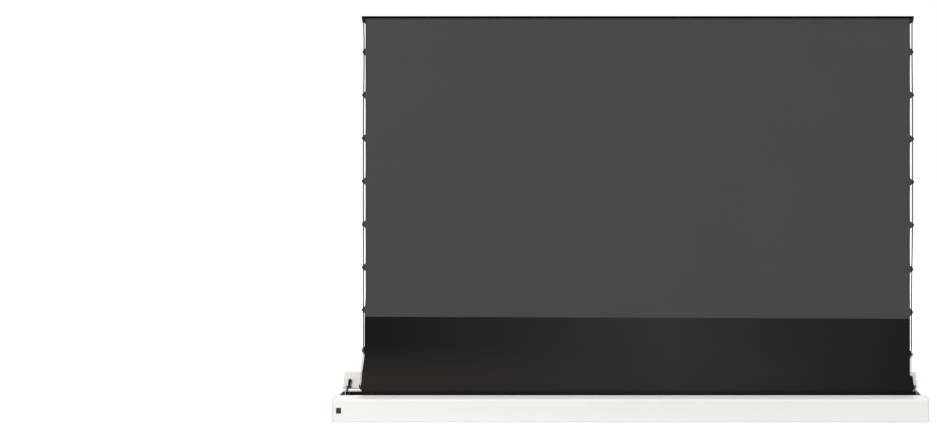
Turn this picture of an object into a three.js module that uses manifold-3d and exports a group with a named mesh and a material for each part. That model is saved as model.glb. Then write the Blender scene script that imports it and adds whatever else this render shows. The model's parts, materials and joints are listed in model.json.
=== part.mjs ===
import * as THREE from 'three';
import { mergeVertices } from 'three/addons/utils/BufferGeometryUtils.js';
import Module from 'manifold-3d';

// Floor rising projection screen, screen raised and lid open. Millimetres, +X right, front faces -Y, +Z up.
// The origin is the centre of the housing's footprint, on the floor.

// Driving dimensions of the housing
const housingLength = 2882;
const housingDepth = 150;
const housingHeight = 110;
const footHeight = 3;
const profileWall = 2.5;
const endCapThickness = 6;
const seat = 0.3;
const cutOverrun = 2;
const frontEdgeRadius = 4;
const stripDepth = 58;
const lipDrop = 14;
const flangeDepth = 18;
const joinStripWidth = 22;
const portRadius = 4;
const portBore = 2.1;
const portInset = 5.5;

// Driving dimensions of the lid and its hinge
const lidSlit = 2.5;
const lidThickness = 9;
const lidSkin = 1.4;
const lidRib = 1.6;
const lidEdgeRadius = 1.5;
const lidCapThickness = 2.5;
const lidEndGap = 0.5;
const hingeInset = 5;
const hingeBeadRadius = 3;
const hingeNeck = 2;
const hookWall = 1.7;
const hookLowAngle = 248;
const hookHighAngle = 42;
const lidOpenAngle = 110;

// Driving dimensions of the lid lift
const liftTubeRadius = 8.4;
const liftTubeWall = 1.2;
const leverPlate = 3;
const leverRollerRadius = 9.6;
const leverRollerWidth = 5;
const leverRollerReach = 41.4;
const leverPivotInset = 13;
const leverPivotHeight = 85;
const liftTubeForward = 9;
const liftTubeRise = 22.5;
const leverInsetLeft = 33;
const leverInsetRight = 27;
const springStudForward = 7;
const springStudRise = 20.5;
const springPostHeight = 32;

// Driving dimensions of the scissor
const armLength = 1600;
const armHeight = 22;
const armThickness = 8;
const armGap = 1;
const armLayerFront = 6;
const foldedRise = 32;
const basePivotHeight = 18;
const raisedPivotHeight = 1954;
const pinRadius = 6;
const pinHeadRadius = 9;
const pinHeadHeight = 2.5;
const trackRollerRadius = 6;
const trackRollerWidth = 6;
const trackWall = 1.5;

// Driving dimensions of the fabric and the top bar
const fabricInsetLeft = 142;
const fabricInsetRight = 69;
const fabricThickness = 0.6;
const wideMargin = 14;
const wideTop = 195;
const taperTop = 300;
const dropTop = 487;
const barMargin = 17.5;
const barHeight = 10.5;
const barDepth = 8.5;
const barClearance = 1.5;
const barRise = 13;
const barGroove = 5;
const tabHeight = 31;
const tabTipHeight = 12;
const tabPitch = 211.2;
const tabFirstDrop = 162;
const tabCount = 8;
const lastTabHeight = 151;
const cordRadius = 1.75;
const cordOffset = 10;
const clipWidth = 11.4;
const clipHeight = 16;
const clipThickness = 6;

// Driving dimensions of the roller
const rollerRadius = 25;
const rollerWall = 1.5;
const rollerBehindFront = 36;
const rollerHeight = 52;
const rollerOverhang = 12;
const rollerSides = 24;
const wrapThickness = 1.4;
const bracketPlate = 3;
const bracketFoot = 24;
const motorHeadLength = 10;

// Worked out from the driving dimensions
const frontY = -housingDepth / 2;
const rearY = housingDepth / 2;
const profileFoot = footHeight + seat;
const floorTop = profileFoot + profileWall;
const profileLength = housingLength - 2 * (endCapThickness + seat);
const profileStart = -profileLength / 2;
const hingeY = rearY - hingeInset;
const hingeZ = housingHeight - hingeInset;
const lidLength = housingLength - 2 * lidEndGap;
const lidFront = frontY + stripDepth + lidSlit - hingeY;
const fabricWidth = housingLength - fabricInsetLeft - fabricInsetRight;
const fabricCentre = (fabricInsetLeft - fabricInsetRight) / 2;
const armRaised = Math.asin((raisedPivotHeight - basePivotHeight) / (2 * armLength));
const armSpan = armLength * Math.cos(armRaised);
const armStage = armLength * Math.sin(armRaised);
const pivotX = fabricCentre - armSpan / 2;
const layerOne = armLayerFront;
const layerTwo = armLayerFront + armThickness + armGap;
const rollerY = frontY + rollerBehindFront;
const rollerLength = fabricWidth + 2 * (wideMargin + rollerOverhang);
const rollerStart = fabricCentre - rollerLength / 2;
const wrapInside = rollerRadius / Math.cos(Math.PI / rollerSides) + seat;
const wrapOutside = wrapInside + wrapThickness;
const fabricPlane = rollerY + wrapOutside + seat + fabricThickness / 2;
const fabricHalf = fabricWidth / 2;
const barTop = raisedPivotHeight + barRise;
const barLength = fabricWidth + 2 * barMargin;
const barFront = frontY + stripDepth + barClearance;

// Materials
const material = (name, color, roughness, metalness) =>
  new THREE.MeshStandardMaterial({ name, color, roughness, metalness });
const whiteAluminium = () => material('white_aluminium', 0xf1efec, 0.45, 0);
const whitePlastic = () => material('white_plastic', 0xf1efec, 0.5, 0);
const steel = () => material('zinc_steel', 0xb9bbbd, 0.35, 0.9);
const springSteel = () => material('spring_steel', 0xc9c9c7, 0.3, 0.9);
const blackAluminium = () => material('black_aluminium', 0x0b0b0c, 0.5, 0.4);
const bareAluminium = () => material('bare_aluminium', 0xc3c5c7, 0.4, 0.9);
const darkSteel = () => material('dark_steel', 0x2a2623, 0.45, 0.8);
const blackPlastic = () => material('black_plastic', 0x171717, 0.5, 0);
const smokedPlastic = () => material('smoked_plastic', 0x3a3a3c, 0.12, 0);
const rubber = () => material('rubber', 0x1d1d1d, 0.85, 0);
const greyFabric = () => material('grey_fabric', 0x4b4b4b, 0.9, 0);
const blackFabric = () => material('black_fabric', 0x2a2725, 0.92, 0);
const greyCord = () => material('grey_cord', 0x8c8c8a, 0.8, 0);

// Joins and cuts
const wasm = await Module();
wasm.setup();

function solidOf(geometry) {
  const bare = geometry.clone();
  bare.deleteAttribute('normal');
  bare.deleteAttribute('uv');
  const merged = mergeVertices(bare.index ? bare.toNonIndexed() : bare, 1e-4);
  return new wasm.Manifold(
    new wasm.Mesh({
      numProp: 3,
      vertProperties: new Float32Array(merged.attributes.position.array),
      triVerts: new Uint32Array(merged.index.array),
    })
  );
}

function geometryOf(solid) {
  const mesh = solid.getMesh();
  const geometry = new THREE.BufferGeometry();
  const corners = new Float32Array(mesh.vertProperties);
  geometry.setAttribute('position', new THREE.BufferAttribute(corners, mesh.numProp));
  geometry.setIndex(new THREE.BufferAttribute(new Uint32Array(mesh.triVerts), 1));
  geometry.computeVertexNormals();
  return geometry;
}

function joined(first, ...others) {
  return geometryOf(others.reduce((sum, next) => sum.add(solidOf(next)), solidOf(first)));
}

function cut(body, ...tools) {
  return geometryOf(tools.reduce((rest, next) => rest.subtract(solidOf(next)), solidOf(body)));
}

// Outlines in a plane, carried along an axis
const axisX = new THREE.Matrix4().makeBasis(
  new THREE.Vector3(0, 1, 0),
  new THREE.Vector3(0, 0, 1),
  new THREE.Vector3(1, 0, 0)
);
const axisY = new THREE.Matrix4().makeBasis(
  new THREE.Vector3(0, 0, 1),
  new THREE.Vector3(1, 0, 0),
  new THREE.Vector3(0, 1, 0)
);

// An outline drawn in Y and Z, carried along X from start
function alongX(outline, start, length, curveSegments = 4) {
  const geometry = new THREE.ExtrudeGeometry(outline, { depth: length, bevelEnabled: false, curveSegments });
  geometry.applyMatrix4(axisX);
  return geometry.translate(start, 0, 0);
}

// An outline drawn in Z and X, carried along Y from start
function alongY(outline, start, length, curveSegments = 4) {
  const geometry = new THREE.ExtrudeGeometry(outline, { depth: length, bevelEnabled: false, curveSegments });
  geometry.applyMatrix4(axisY);
  return geometry.translate(0, start, 0);
}

// A profile of [radius, place] pairs turned about X, through y and z
function turnedX(profile, y, z, sides = 16) {
  const points = profile.map(([radius, place]) => new THREE.Vector2(radius, place));
  const geometry = new THREE.LatheGeometry(points, sides);
  geometry.rotateZ(-Math.PI / 2);
  return geometry.translate(0, y, z);
}

// A profile of [radius, place] pairs turned about Y, through x and z
function turnedY(profile, x, z, sides = 16) {
  const points = profile.map(([radius, place]) => new THREE.Vector2(radius, place));
  return new THREE.LatheGeometry(points, sides).translate(x, 0, z);
}

// The closed profile of a sleeve from one place to another
function sleeve(inside, outside, from, to) {
  return [[inside, from], [outside, from], [outside, to], [inside, to], [inside, from]];
}

// The profile of a solid pin from one place to another
function pinProfile(radius, from, to) {
  return [[0, from], [radius, from], [radius, to], [0, to]];
}

function block(x0, x1, y0, y1, z0, z1) {
  const geometry = new THREE.BoxGeometry(x1 - x0, y1 - y0, z1 - z0);
  return geometry.translate((x0 + x1) / 2, (y0 + y1) / 2, (z0 + z1) / 2);
}

function outlineOf(points) {
  return new THREE.Shape(points.map(([a, b]) => new THREE.Vector2(a, b)));
}

function rectangle(a0, a1, b0, b1) {
  return outlineOf([[a0, b0], [a1, b0], [a1, b1], [a0, b1]]);
}

function arcPoints(a, b, radius, from, to, steps) {
  const points = [];
  for (let i = 0; i <= steps; i += 1) {
    const angle = THREE.MathUtils.degToRad(from + ((to - from) * i) / steps);
    points.push([a + radius * Math.cos(angle), b + radius * Math.sin(angle)]);
  }
  return points;
}

function circleHole(a, b, radius, sides = 12) {
  const path = new THREE.Path();
  arcPoints(a, b, radius, 360, 360 / sides, sides - 1).forEach(([p, q], i) => {
    if (i === 0) path.moveTo(p, q);
    else path.lineTo(p, q);
  });
  path.closePath();
  return path;
}

// A strap outline: two round ends and the two straight tangents between them
function strap(first, firstRadius, second, secondRadius, steps = 8) {
  const run = Math.hypot(second[0] - first[0], second[1] - first[1]);
  const heading = THREE.MathUtils.radToDeg(Math.atan2(second[1] - first[1], second[0] - first[0]));
  const lean = THREE.MathUtils.radToDeg(Math.acos((firstRadius - secondRadius) / run));
  return outlineOf([
    ...arcPoints(first[0], first[1], firstRadius, heading + lean, heading + 360 - lean, steps),
    ...arcPoints(second[0], second[1], secondRadius, heading - lean, heading + lean, steps),
  ]);
}

const group = new THREE.Group();

function add(name, geometry, surface, parent = group) {
  const mesh = new THREE.Mesh(geometry, surface);
  mesh.name = name;
  parent.add(mesh);
  return mesh;
}

// Housing profiles
const screwPorts = {
  frontTop: [frontY + profileWall + portInset, housingHeight - profileWall - portInset],
  frontFoot: [frontY + profileWall + portInset, profileFoot + 2 * profileWall + seat + portInset],
  rearFoot: [rearY - profileWall - portInset, profileFoot + 2 * profileWall + seat + portInset],
};

// A screw port is a thick C that the profile's wall closes on one side
function screwPort([y, z], towards) {
  const mouth = 50;
  const ring = outlineOf([
    ...arcPoints(y, z, portRadius, towards + mouth, towards + 360 - mouth, 10),
    ...arcPoints(y, z, portBore, towards + 360 - mouth, towards + mouth, 8),
  ]);
  return alongX(ring, profileStart, profileLength);
}

function portWeb([y, z], wallY) {
  const half = profileWall / 2;
  const inner = y + Math.sign(wallY - y) * (portBore + profileWall / 3);
  const outline = rectangle(Math.min(inner, wallY), Math.max(inner, wallY), z - half, z + half);
  return alongX(outline, profileStart, profileLength);
}

const windowWidth = 23.6;
const windowHeight = 27;
const windowInset = 33.4;
const windowX = windowInset - housingLength / 2;
const windowZ = 56.5;

function frontProfile() {
  const inner = frontY + profileWall;
  const strip = frontY + stripDepth;
  const top = housingHeight;
  const outline = outlineOf([
    [frontY, profileFoot],
    [frontY + flangeDepth, profileFoot],
    [frontY + flangeDepth, floorTop],
    [inner, floorTop],
    [inner, top - profileWall],
    [strip - profileWall, top - profileWall],
    [strip - profileWall, top - lipDrop],
    [strip, top - lipDrop],
    ...arcPoints(strip - profileWall / 2, top - profileWall / 2, profileWall / 2, 0, 90, 3),
    ...arcPoints(frontY + frontEdgeRadius, top - frontEdgeRadius, frontEdgeRadius, 90, 180, 5),
  ]);
  const windowHole = block(
    windowX - windowWidth / 2 - seat,
    windowX + windowWidth / 2 + seat,
    frontY - cutOverrun,
    inner + cutOverrun,
    windowZ - windowHeight / 2 - seat,
    windowZ + windowHeight / 2 + seat
  );
  const full = joined(
    alongX(outline, profileStart, profileLength),
    screwPort(screwPorts.frontTop, 0),
    portWeb(screwPorts.frontTop, inner - profileWall / 2),
    screwPort(screwPorts.frontFoot, 0),
    portWeb(screwPorts.frontFoot, inner - profileWall / 2)
  );
  return cut(full, windowHole);
}

// The floor lies between the flanges of the front and rear profiles
function floorProfile() {
  const outline = rectangle(frontY + flangeDepth + seat, rearY - flangeDepth - seat, profileFoot, floorTop);
  return alongX(outline, profileStart, profileLength);
}

// A join strip lies over the seam between a profile's flange and the floor
// Side is -1 at the front and 1 at the rear
function joinStrip(side) {
  const outer = side * (rearY - profileWall - seat);
  const inner = outer - side * joinStripWidth;
  const low = floorTop + seat;
  const outline = rectangle(Math.min(inner, outer), Math.max(inner, outer), low, low + profileWall);
  return alongX(outline, profileStart, profileLength);
}

const inletInset = 141;
const inletX = inletInset - housingLength / 2;
const inletZ = 52;
const inletWidth = 27;
const inletHeight = 20;

function rearProfile() {
  const inner = rearY - profileWall;
  const half = hingeNeck / 2;
  const shoulder = hingeZ - hingeBeadRadius - hookWall - seat - profileWall;
  const neckLean = THREE.MathUtils.radToDeg(Math.asin(half / hingeBeadRadius));
  const outline = outlineOf([
    [rearY, profileFoot],
    [rearY, shoulder],
    [hingeY + half, shoulder],
    ...arcPoints(hingeY, hingeZ, hingeBeadRadius, neckLean - 90, 270 - neckLean, 12),
    [hingeY - half, shoulder - profileWall],
    [inner, shoulder - profileWall],
    [inner, floorTop],
    [rearY - flangeDepth, floorTop],
    [rearY - flangeDepth, profileFoot],
  ]);
  const inletHole = block(
    inletX - inletWidth / 2 - seat,
    inletX + inletWidth / 2 + seat,
    inner - cutOverrun,
    rearY + cutOverrun,
    inletZ - inletHeight / 2 - seat,
    inletZ + inletHeight / 2 + seat
  );
  const full = joined(
    alongX(outline, profileStart, profileLength),
    screwPort(screwPorts.rearFoot, 180),
    portWeb(screwPorts.rearFoot, inner + profileWall / 2)
  );
  return cut(full, inletHole);
}

const capBevel = 1.2;
const capRibDepth = 8;
const capRibThickness = 2;
const capRibLow = 34;
const capRibHigh = 74;
const capScrewHead = 3.8;
const capScrewSink = 2.4;
const capBossRadius = 5;
const capBossPlaces = [
  [0, 90],
  [63, 76],
];

// The cap for one end, lower behind the front strip where the lid closes over it
// Side is -1 at the left and 1 at the right
function endCap(side) {
  const lidSeat = hingeZ - hingeInset - seat - capBevel;
  const step = frontY + stripDepth - capBevel;
  const outline = outlineOf([
    [frontY + capBevel, profileFoot + capBevel],
    [rearY - capBevel, profileFoot + capBevel],
    [rearY - capBevel, lidSeat],
    [step, lidSeat],
    [step, housingHeight - capBevel],
    ...arcPoints(frontY + frontEdgeRadius, housingHeight - frontEdgeRadius, frontEdgeRadius - capBevel, 90, 180, 4),
  ]);
  const plate = new THREE.ExtrudeGeometry(outline, {
    depth: 2 * (endCapThickness - capBevel),
    bevelThickness: capBevel,
    bevelSize: capBevel,
    bevelSegments: 2,
    curveSegments: 4,
  });
  plate.applyMatrix4(axisX);
  plate.translate(-(endCapThickness - capBevel), 0, 0);
  const outer = (side * housingLength) / 2;
  plate.translate(outer - side * endCapThickness, 0, 0);
  const inner = outer - side * endCapThickness;
  const away = side > 0 ? [-housingLength, inner] : [inner, housingLength];
  const halved = cut(plate, block(...away, 2 * frontY, 2 * rearY, -housingHeight, 2 * housingHeight));
  const ribStart = Math.min(inner + side * endCapThickness / 2, inner - side * capRibDepth);
  const ribEnd = Math.max(inner + side * endCapThickness / 2, inner - side * capRibDepth);
  const ribFront = frontY + profileWall + seat;
  const ribRear = rearY - profileWall - seat;
  const ribbed = joined(
    halved,
    block(ribStart, ribEnd, ribFront, ribFront + capRibThickness, capRibLow, capRibHigh),
    block(ribStart, ribEnd, ribRear - capRibThickness, ribRear, capRibLow, capRibHigh),
    ...capBossPlaces.map(([y, z]) =>
      turnedX(pinProfile(capBossRadius, ribStart, ribEnd), y, z, 12)
    )
  );
  const holes = [...Object.values(screwPorts), ...capBossPlaces].map(([y, z]) => {
    const reach = [
      [0, -cutOverrun - capRibDepth],
      [portBore, -cutOverrun - capRibDepth],
      [portBore, endCapThickness - capScrewSink],
      [capScrewHead, endCapThickness - seat],
      [capScrewHead, endCapThickness + cutOverrun],
      [0, endCapThickness + cutOverrun],
    ];
    const tool = turnedX(reach, 0, 0, 12);
    if (side < 0) tool.rotateY(Math.PI);
    return tool.translate(inner, y, z);
  });
  return cut(ribbed, ...holes);
}

const footLength = 40;
const footWidth = 18;
const footTaper = 1.5;
const footInsetX = 180;
const footInsetY = 13;

// A foot is a tapered rubber pad under a profile
function foot(x, y) {
  const half = footWidth / 2;
  const outline = outlineOf([
    [y - half, footHeight],
    [y - half + footTaper, 0],
    [y + half - footTaper, 0],
    [y + half, footHeight],
  ]);
  return alongX(outline, x - footLength / 2, footLength);
}

add('front_profile', frontProfile(), whiteAluminium());
add('floor_profile', floorProfile(), whiteAluminium());
add('join_strip_front', joinStrip(-1), bareAluminium());
add('join_strip_rear', joinStrip(1), bareAluminium());
add('rear_profile', rearProfile(), whiteAluminium());
add('end_cap_left', endCap(-1), whitePlastic());
add('end_cap_right', endCap(1), whitePlastic());
const footX = housingLength / 2 - footInsetX;
add('foot_centre', foot(0, 0), rubber());
add('foot_front_left', foot(-footX, frontY + footInsetY), rubber());
add('foot_front_right', foot(footX, frontY + footInsetY), rubber());
add('foot_rear_left', foot(-footX, rearY - footInsetY), rubber());
add('foot_rear_right', foot(footX, rearY - footInsetY), rubber());

// Infrared window and power inlet
const windowLip = 3;
const windowPane = 1.4;
const windowProud = 0.4;

function irWindow() {
  const inner = frontY + profileWall + seat;
  const front = block(
    windowX - windowWidth / 2,
    windowX + windowWidth / 2,
    frontY - windowProud,
    inner + windowPane / 2,
    windowZ - windowHeight / 2,
    windowZ + windowHeight / 2
  );
  const lip = block(
    windowX - windowWidth / 2 - windowLip,
    windowX + windowWidth / 2 + windowLip,
    inner,
    inner + windowPane,
    windowZ - windowHeight / 2 - windowLip,
    windowZ + windowHeight / 2 + windowLip
  );
  return joined(front, lip);
}

const inletFlange = 3.5;
const inletFlangeThickness = 2;
const inletDepth = 18;
const inletWall = 2.5;
const inletPinWidth = 4;
const inletPinThickness = 2;
const inletPinPitch = 7;

function powerInlet() {
  const outside = rearY + seat;
  const flange = block(
    inletX - inletWidth / 2 - inletFlange,
    inletX + inletWidth / 2 + inletFlange,
    outside,
    outside + inletFlangeThickness,
    inletZ - inletHeight / 2 - inletFlange,
    inletZ + inletHeight / 2 + inletFlange
  );
  const body = block(
    inletX - inletWidth / 2,
    inletX + inletWidth / 2,
    rearY - inletDepth,
    outside + inletFlangeThickness / 2,
    inletZ - inletHeight / 2,
    inletZ + inletHeight / 2
  );
  const socket = block(
    inletX - inletWidth / 2 + inletWall,
    inletX + inletWidth / 2 - inletWall,
    rearY - inletDepth + inletWall,
    outside + inletFlangeThickness + cutOverrun,
    inletZ - inletHeight / 2 + inletWall,
    inletZ + inletHeight / 2 - inletWall
  );
  const pins = [[-1, -1], [0, 1], [1, -1]].map(([across, up]) => {
    const x = inletX + across * inletPinPitch;
    const z = inletZ + up * inletPinThickness;
    return block(
      x - inletPinThickness / 2,
      x + inletPinThickness / 2,
      rearY - inletDepth + inletWall / 2,
      rearY - inletWall,
      z - inletPinWidth / 2,
      z + inletPinWidth / 2
    );
  });
  return joined(cut(joined(flange, body), socket), ...pins);
}

const controlGap = 3;
const controlDepth = 32;
const controlHeight = 76;
const controlChamfer = 4;

// The control box holds the motor's electronics behind the infrared window, between the end cap and the roller
function controlBox() {
  const start = profileStart + capRibDepth + controlGap;
  const end = rollerStart - 3 * seat - motorHeadLength - bracketPlate - bracketFoot / 2 - controlGap;
  const front = frontY + profileWall + seat + windowPane + seat;
  const floor = floorTop + 2 * seat + profileWall;
  const top = floor + controlHeight;
  const rear = front + controlDepth;
  const port = 2 * portInset;
  const outline = outlineOf([
    [front + port, floor],
    [rear, floor],
    [rear, top - controlChamfer],
    [rear - controlChamfer, top],
    [front, top],
    [front, floor + port + controlGap],
    [front + port, floor + port + controlGap],
  ]);
  return alongX(outline, start, end - start);
}

add('ir_window', irWindow(), smokedPlastic());
add('power_inlet', powerInlet(), blackPlastic());
add('control_box', controlBox(), blackPlastic());

// Roller, its motor and its brackets
const bracketFrontInset = 9;
const bracketRearReach = 26;
const bracketTop = 88;
const crownLength = 14;
const motorRadius = 20;
const motorLength = 520;
const motorHeadRadius = 24;
const stubRadius = 7;
const driveShaftRadius = 5;
const driveShaftLength = 22;
const adapterLength = 16;
const idlerPinRadius = 5;
const idlerFlange = 3;
const idlerPlug = 24;
const rollerEnd = rollerStart + rollerLength;
const tubeBore = rollerRadius - rollerWall;

function rollerTube() {
  return turnedX(sleeve(tubeBore, rollerRadius, rollerStart, rollerEnd), rollerY, rollerHeight, rollerSides);
}

// The turns of fabric that stay on the roller when the screen is up
function fabricWraps() {
  const half = fabricHalf + wideMargin;
  const turns = sleeve(wrapInside, wrapOutside, fabricCentre - half, fabricCentre + half);
  return turnedX(turns, rollerY, rollerHeight, rollerSides);
}

function tubularMotor() {
  const start = rollerStart + seat;
  const end = start + motorLength;
  const chamfer = rollerWall;
  return turnedX(
    [
      [0, start],
      [motorRadius, start],
      [motorRadius, end - chamfer],
      [motorRadius - chamfer, end],
      [driveShaftRadius, end],
      [driveShaftRadius, end + driveShaftLength],
      [0, end + driveShaftLength],
    ],
    rollerY,
    rollerHeight
  );
}

function motorHead() {
  const end = rollerStart - seat;
  const start = end - motorHeadLength;
  const stub = start - bracketPlate - 2 * seat;
  return turnedX(
    [
      [0, stub],
      [stubRadius, stub],
      [stubRadius, start],
      [motorHeadRadius, start],
      [motorHeadRadius, end],
      [0, end],
    ],
    rollerY,
    rollerHeight
  );
}

function driveCrown() {
  const start = rollerStart + seat;
  const outside = tubeBore * Math.cos(Math.PI / rollerSides) - seat;
  const crown = sleeve(motorRadius + seat, outside, start, start + crownLength);
  return turnedX(crown, rollerY, rollerHeight, rollerSides);
}

function driveAdapter() {
  const start = rollerStart + motorLength + 2 * rollerWall;
  const end = start + adapterLength;
  const inside = driveShaftRadius + seat;
  const outside = tubeBore * Math.cos(Math.PI / rollerSides) - seat;
  const waist = (inside + outside) / 2;
  return turnedX(
    [
      [inside, start],
      [outside, start],
      [outside, start + adapterLength / 4],
      [waist, start + adapterLength / 3],
      [waist, end - adapterLength / 3],
      [outside, end - adapterLength / 4],
      [outside, end],
      [inside, end],
      [inside, start],
    ],
    rollerY,
    rollerHeight,
    rollerSides
  );
}

function idlerCap() {
  const plug = rollerEnd - idlerPlug;
  const face = rollerEnd + seat;
  const inside = idlerPinRadius + seat;
  const outside = tubeBore * Math.cos(Math.PI / rollerSides) - seat;
  return turnedX(
    [
      [inside, plug],
      [outside, plug],
      [outside, face],
      [rollerRadius, face],
      [rollerRadius, face + idlerFlange],
      [inside, face + idlerFlange],
      [inside, plug],
    ],
    rollerY,
    rollerHeight,
    rollerSides
  );
}

function idlerPin() {
  const start = rollerEnd - idlerPlug;
  const shoulder = rollerEnd + idlerFlange + 2 * seat;
  const end = shoulder + bracketPlate + seat;
  const head = end + bracketPlate;
  return turnedX(
    [
      [0, start],
      [idlerPinRadius, start],
      [idlerPinRadius, end],
      [stubRadius, end],
      [stubRadius, head],
      [0, head],
    ],
    rollerY,
    rollerHeight
  );
}

// A roller bracket stands on the floor profile beside the roller's end
function rollerBracket(side) {
  const inner =
    side < 0 ? rollerStart - 2 * seat - motorHeadLength : rollerEnd + idlerFlange + 2 * seat;
  const bore = side < 0 ? stubRadius + seat : idlerPinRadius + seat;
  const front = frontY + profileWall + joinStripWidth + 2 * seat;
  const rear = rollerY + bracketRearReach;
  const foot = floorTop + seat;
  const chamfer = bracketFrontInset;
  const outline = outlineOf([
    [front, foot],
    [rear, foot],
    [rear, bracketTop - chamfer],
    [rear - chamfer, bracketTop],
    [frontY + bracketFrontInset + chamfer, bracketTop],
    [frontY + bracketFrontInset, bracketTop - chamfer],
    [frontY + bracketFrontInset, foot + bracketFoot],
    [front, foot + bracketFoot],
  ]);
  outline.holes.push(circleHole(rollerY, rollerHeight, bore));
  const start = side < 0 ? inner - bracketPlate - seat : inner;
  const plate = alongX(outline, start, bracketPlate);
  const flangeStart = side < 0 ? start - bracketFoot / 2 : start + bracketPlate / 2;
  const flange = block(
    flangeStart,
    flangeStart + bracketFoot / 2 + bracketPlate / 2,
    front,
    rear,
    foot,
    foot + bracketPlate
  );
  return joined(plate, flange);
}

add('roller_tube', rollerTube(), bareAluminium());
add('fabric_wraps', fabricWraps(), blackFabric());
add('tubular_motor', tubularMotor(), darkSteel());
add('motor_head', motorHead(), blackPlastic());
add('drive_crown', driveCrown(), blackPlastic());
add('drive_adapter', driveAdapter(), blackPlastic());
add('idler_cap', idlerCap(), blackPlastic());
add('idler_pin', idlerPin(), steel());
add('roller_bracket_left', rollerBracket(-1), steel());
add('roller_bracket_right', rollerBracket(1), steel());

// Scissor lift
const armHalf = armHeight / 2;
const basePoint = [pivotX, basePivotHeight];
const lowerRight = [pivotX + armSpan, basePivotHeight];
const middleLeft = [pivotX, basePivotHeight + armStage];
const middleRight = [pivotX + armSpan, basePivotHeight + armStage];
const upperLeft = [pivotX, raisedPivotHeight];
const upperRight = [pivotX + armSpan, raisedPivotHeight];
const axleReach = armThickness / 2 + 3 * seat + trackRollerWidth;
const axleRadius = 3.5;

function between(first, second) {
  return [(first[0] + second[0]) / 2, (first[1] + second[1]) / 2];
}

// An arm is a flat bar with round ends, bored at its two ends and its middle
function arm(from, to, layer, bores) {
  const outline = strap([from[1], from[0]], armHalf, [to[1], to[0]], armHalf);
  bores.forEach(([x, z]) => outline.holes.push(circleHole(z, x, pinRadius + seat)));
  return alongY(outline, layer, armThickness);
}

// A pivot pin passes both layers and has a head on each side
function pivotPin([x, z]) {
  const front = layerOne - seat;
  const rear = layerTwo + armThickness + seat;
  const chamfer = pinHeadHeight / 2;
  const profile = [
    [0, front - pinHeadHeight],
    [pinHeadRadius - chamfer, front - pinHeadHeight],
    [pinHeadRadius, front - chamfer],
    [pinHeadRadius, front],
    [pinRadius, front],
    [pinRadius, rear],
    [pinHeadRadius, rear],
    [pinHeadRadius, rear + chamfer],
    [pinHeadRadius - chamfer, rear + pinHeadHeight],
    [0, rear + pinHeadHeight],
  ];
  return turnedY(profile, x, z, 14);
}

// An arm end that runs in a track carries a fixed axle; towards is -1 forwards and 1 rearwards
function axle([x, z], layer, towards) {
  const root = towards > 0 ? layer + armThickness / 2 : layer + armThickness / 2 - axleReach;
  const tip = root + axleReach;
  return turnedY([[0, root], [axleRadius, root], [axleRadius, tip], [0, tip]], x, z, 12);
}

function trackRoller([x, z], start) {
  const chamfer = trackWall / 2;
  const end = start + trackRollerWidth;
  const bore = axleRadius + seat;
  const profile = [
    [bore, start],
    [trackRollerRadius - chamfer, start],
    [trackRollerRadius, start + chamfer],
    [trackRollerRadius, end - chamfer],
    [trackRollerRadius - chamfer, end],
    [bore, end],
    [bore, start],
  ];
  return turnedY(profile, x, z, 16);
}

const armA = arm(basePoint, middleRight, layerOne, [basePoint, between(basePoint, middleRight), middleRight]);
const armB = arm(lowerRight, middleLeft, layerTwo, [between(lowerRight, middleLeft), middleLeft]);
const armC = arm(middleRight, upperLeft, layerTwo, [middleRight, between(middleRight, upperLeft), upperLeft]);
const armD = arm(middleLeft, upperRight, layerOne, [middleLeft, between(middleLeft, upperRight)]);
add('arm_lower_a', armA, blackAluminium());
add('arm_lower_b', joined(armB, axle(lowerRight, layerTwo, 1)), blackAluminium());
add('arm_upper_c', armC, blackAluminium());
add('arm_upper_d', joined(armD, axle(upperRight, layerOne, -1)), blackAluminium());
add('pin_cross_lower', pivotPin(between(basePoint, middleRight)), steel());
add('pin_cross_upper', pivotPin(between(middleRight, upperLeft)), steel());
add('pin_middle_right', pivotPin(middleRight), steel());
add('pin_middle_left', pivotPin(middleLeft), steel());
const lowerRollerStart = layerTwo + armThickness + 2 * seat;
const upperRollerStart = layerOne - 2 * seat - trackRollerWidth;
add('track_roller_lower', trackRoller(lowerRight, lowerRollerStart), blackPlastic());
add('track_roller_upper', trackRoller(upperRight, upperRollerStart), blackPlastic());

// The tracks are open channels; the rollers travel by the difference of the arms' spans
const travelShare = 1.12;
const foldedSpan = Math.sqrt(armLength * armLength - foldedRise * foldedRise);
const trackTravel = (foldedSpan - armSpan) * travelShare + 2 * armHeight;
const trackStart = lowerRight[0] - 2 * armHeight;
const channelHalf = trackRollerRadius + seat + trackWall;

// mouth is the Y of the channel's open side, and into is the way from it to the channel's web
function channelOutline(mouth, into, z, low) {
  const web = mouth + into * (trackRollerWidth + 2 * trackWall);
  const inner = web - into * trackWall;
  const points = [
    [mouth, low],
    [web, low],
    [web, z + channelHalf],
    [mouth, z + channelHalf],
    [mouth, z + channelHalf - trackWall],
    [inner, z + channelHalf - trackWall],
    [inner, z - channelHalf + trackWall],
    [mouth, z - channelHalf + trackWall],
  ];
  return outlineOf(into > 0 ? points : points.reverse());
}

const lowerMouth = lowerRollerStart - seat;
const upperMouth = upperRollerStart + trackRollerWidth + seat;
const lowerTrack = channelOutline(lowerMouth, 1, basePivotHeight, floorTop + seat);
add('lower_track', alongX(lowerTrack, trackStart, trackTravel), bareAluminium());

const pivotBracketLength = 34;
const pivotPlate = 5;

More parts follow.
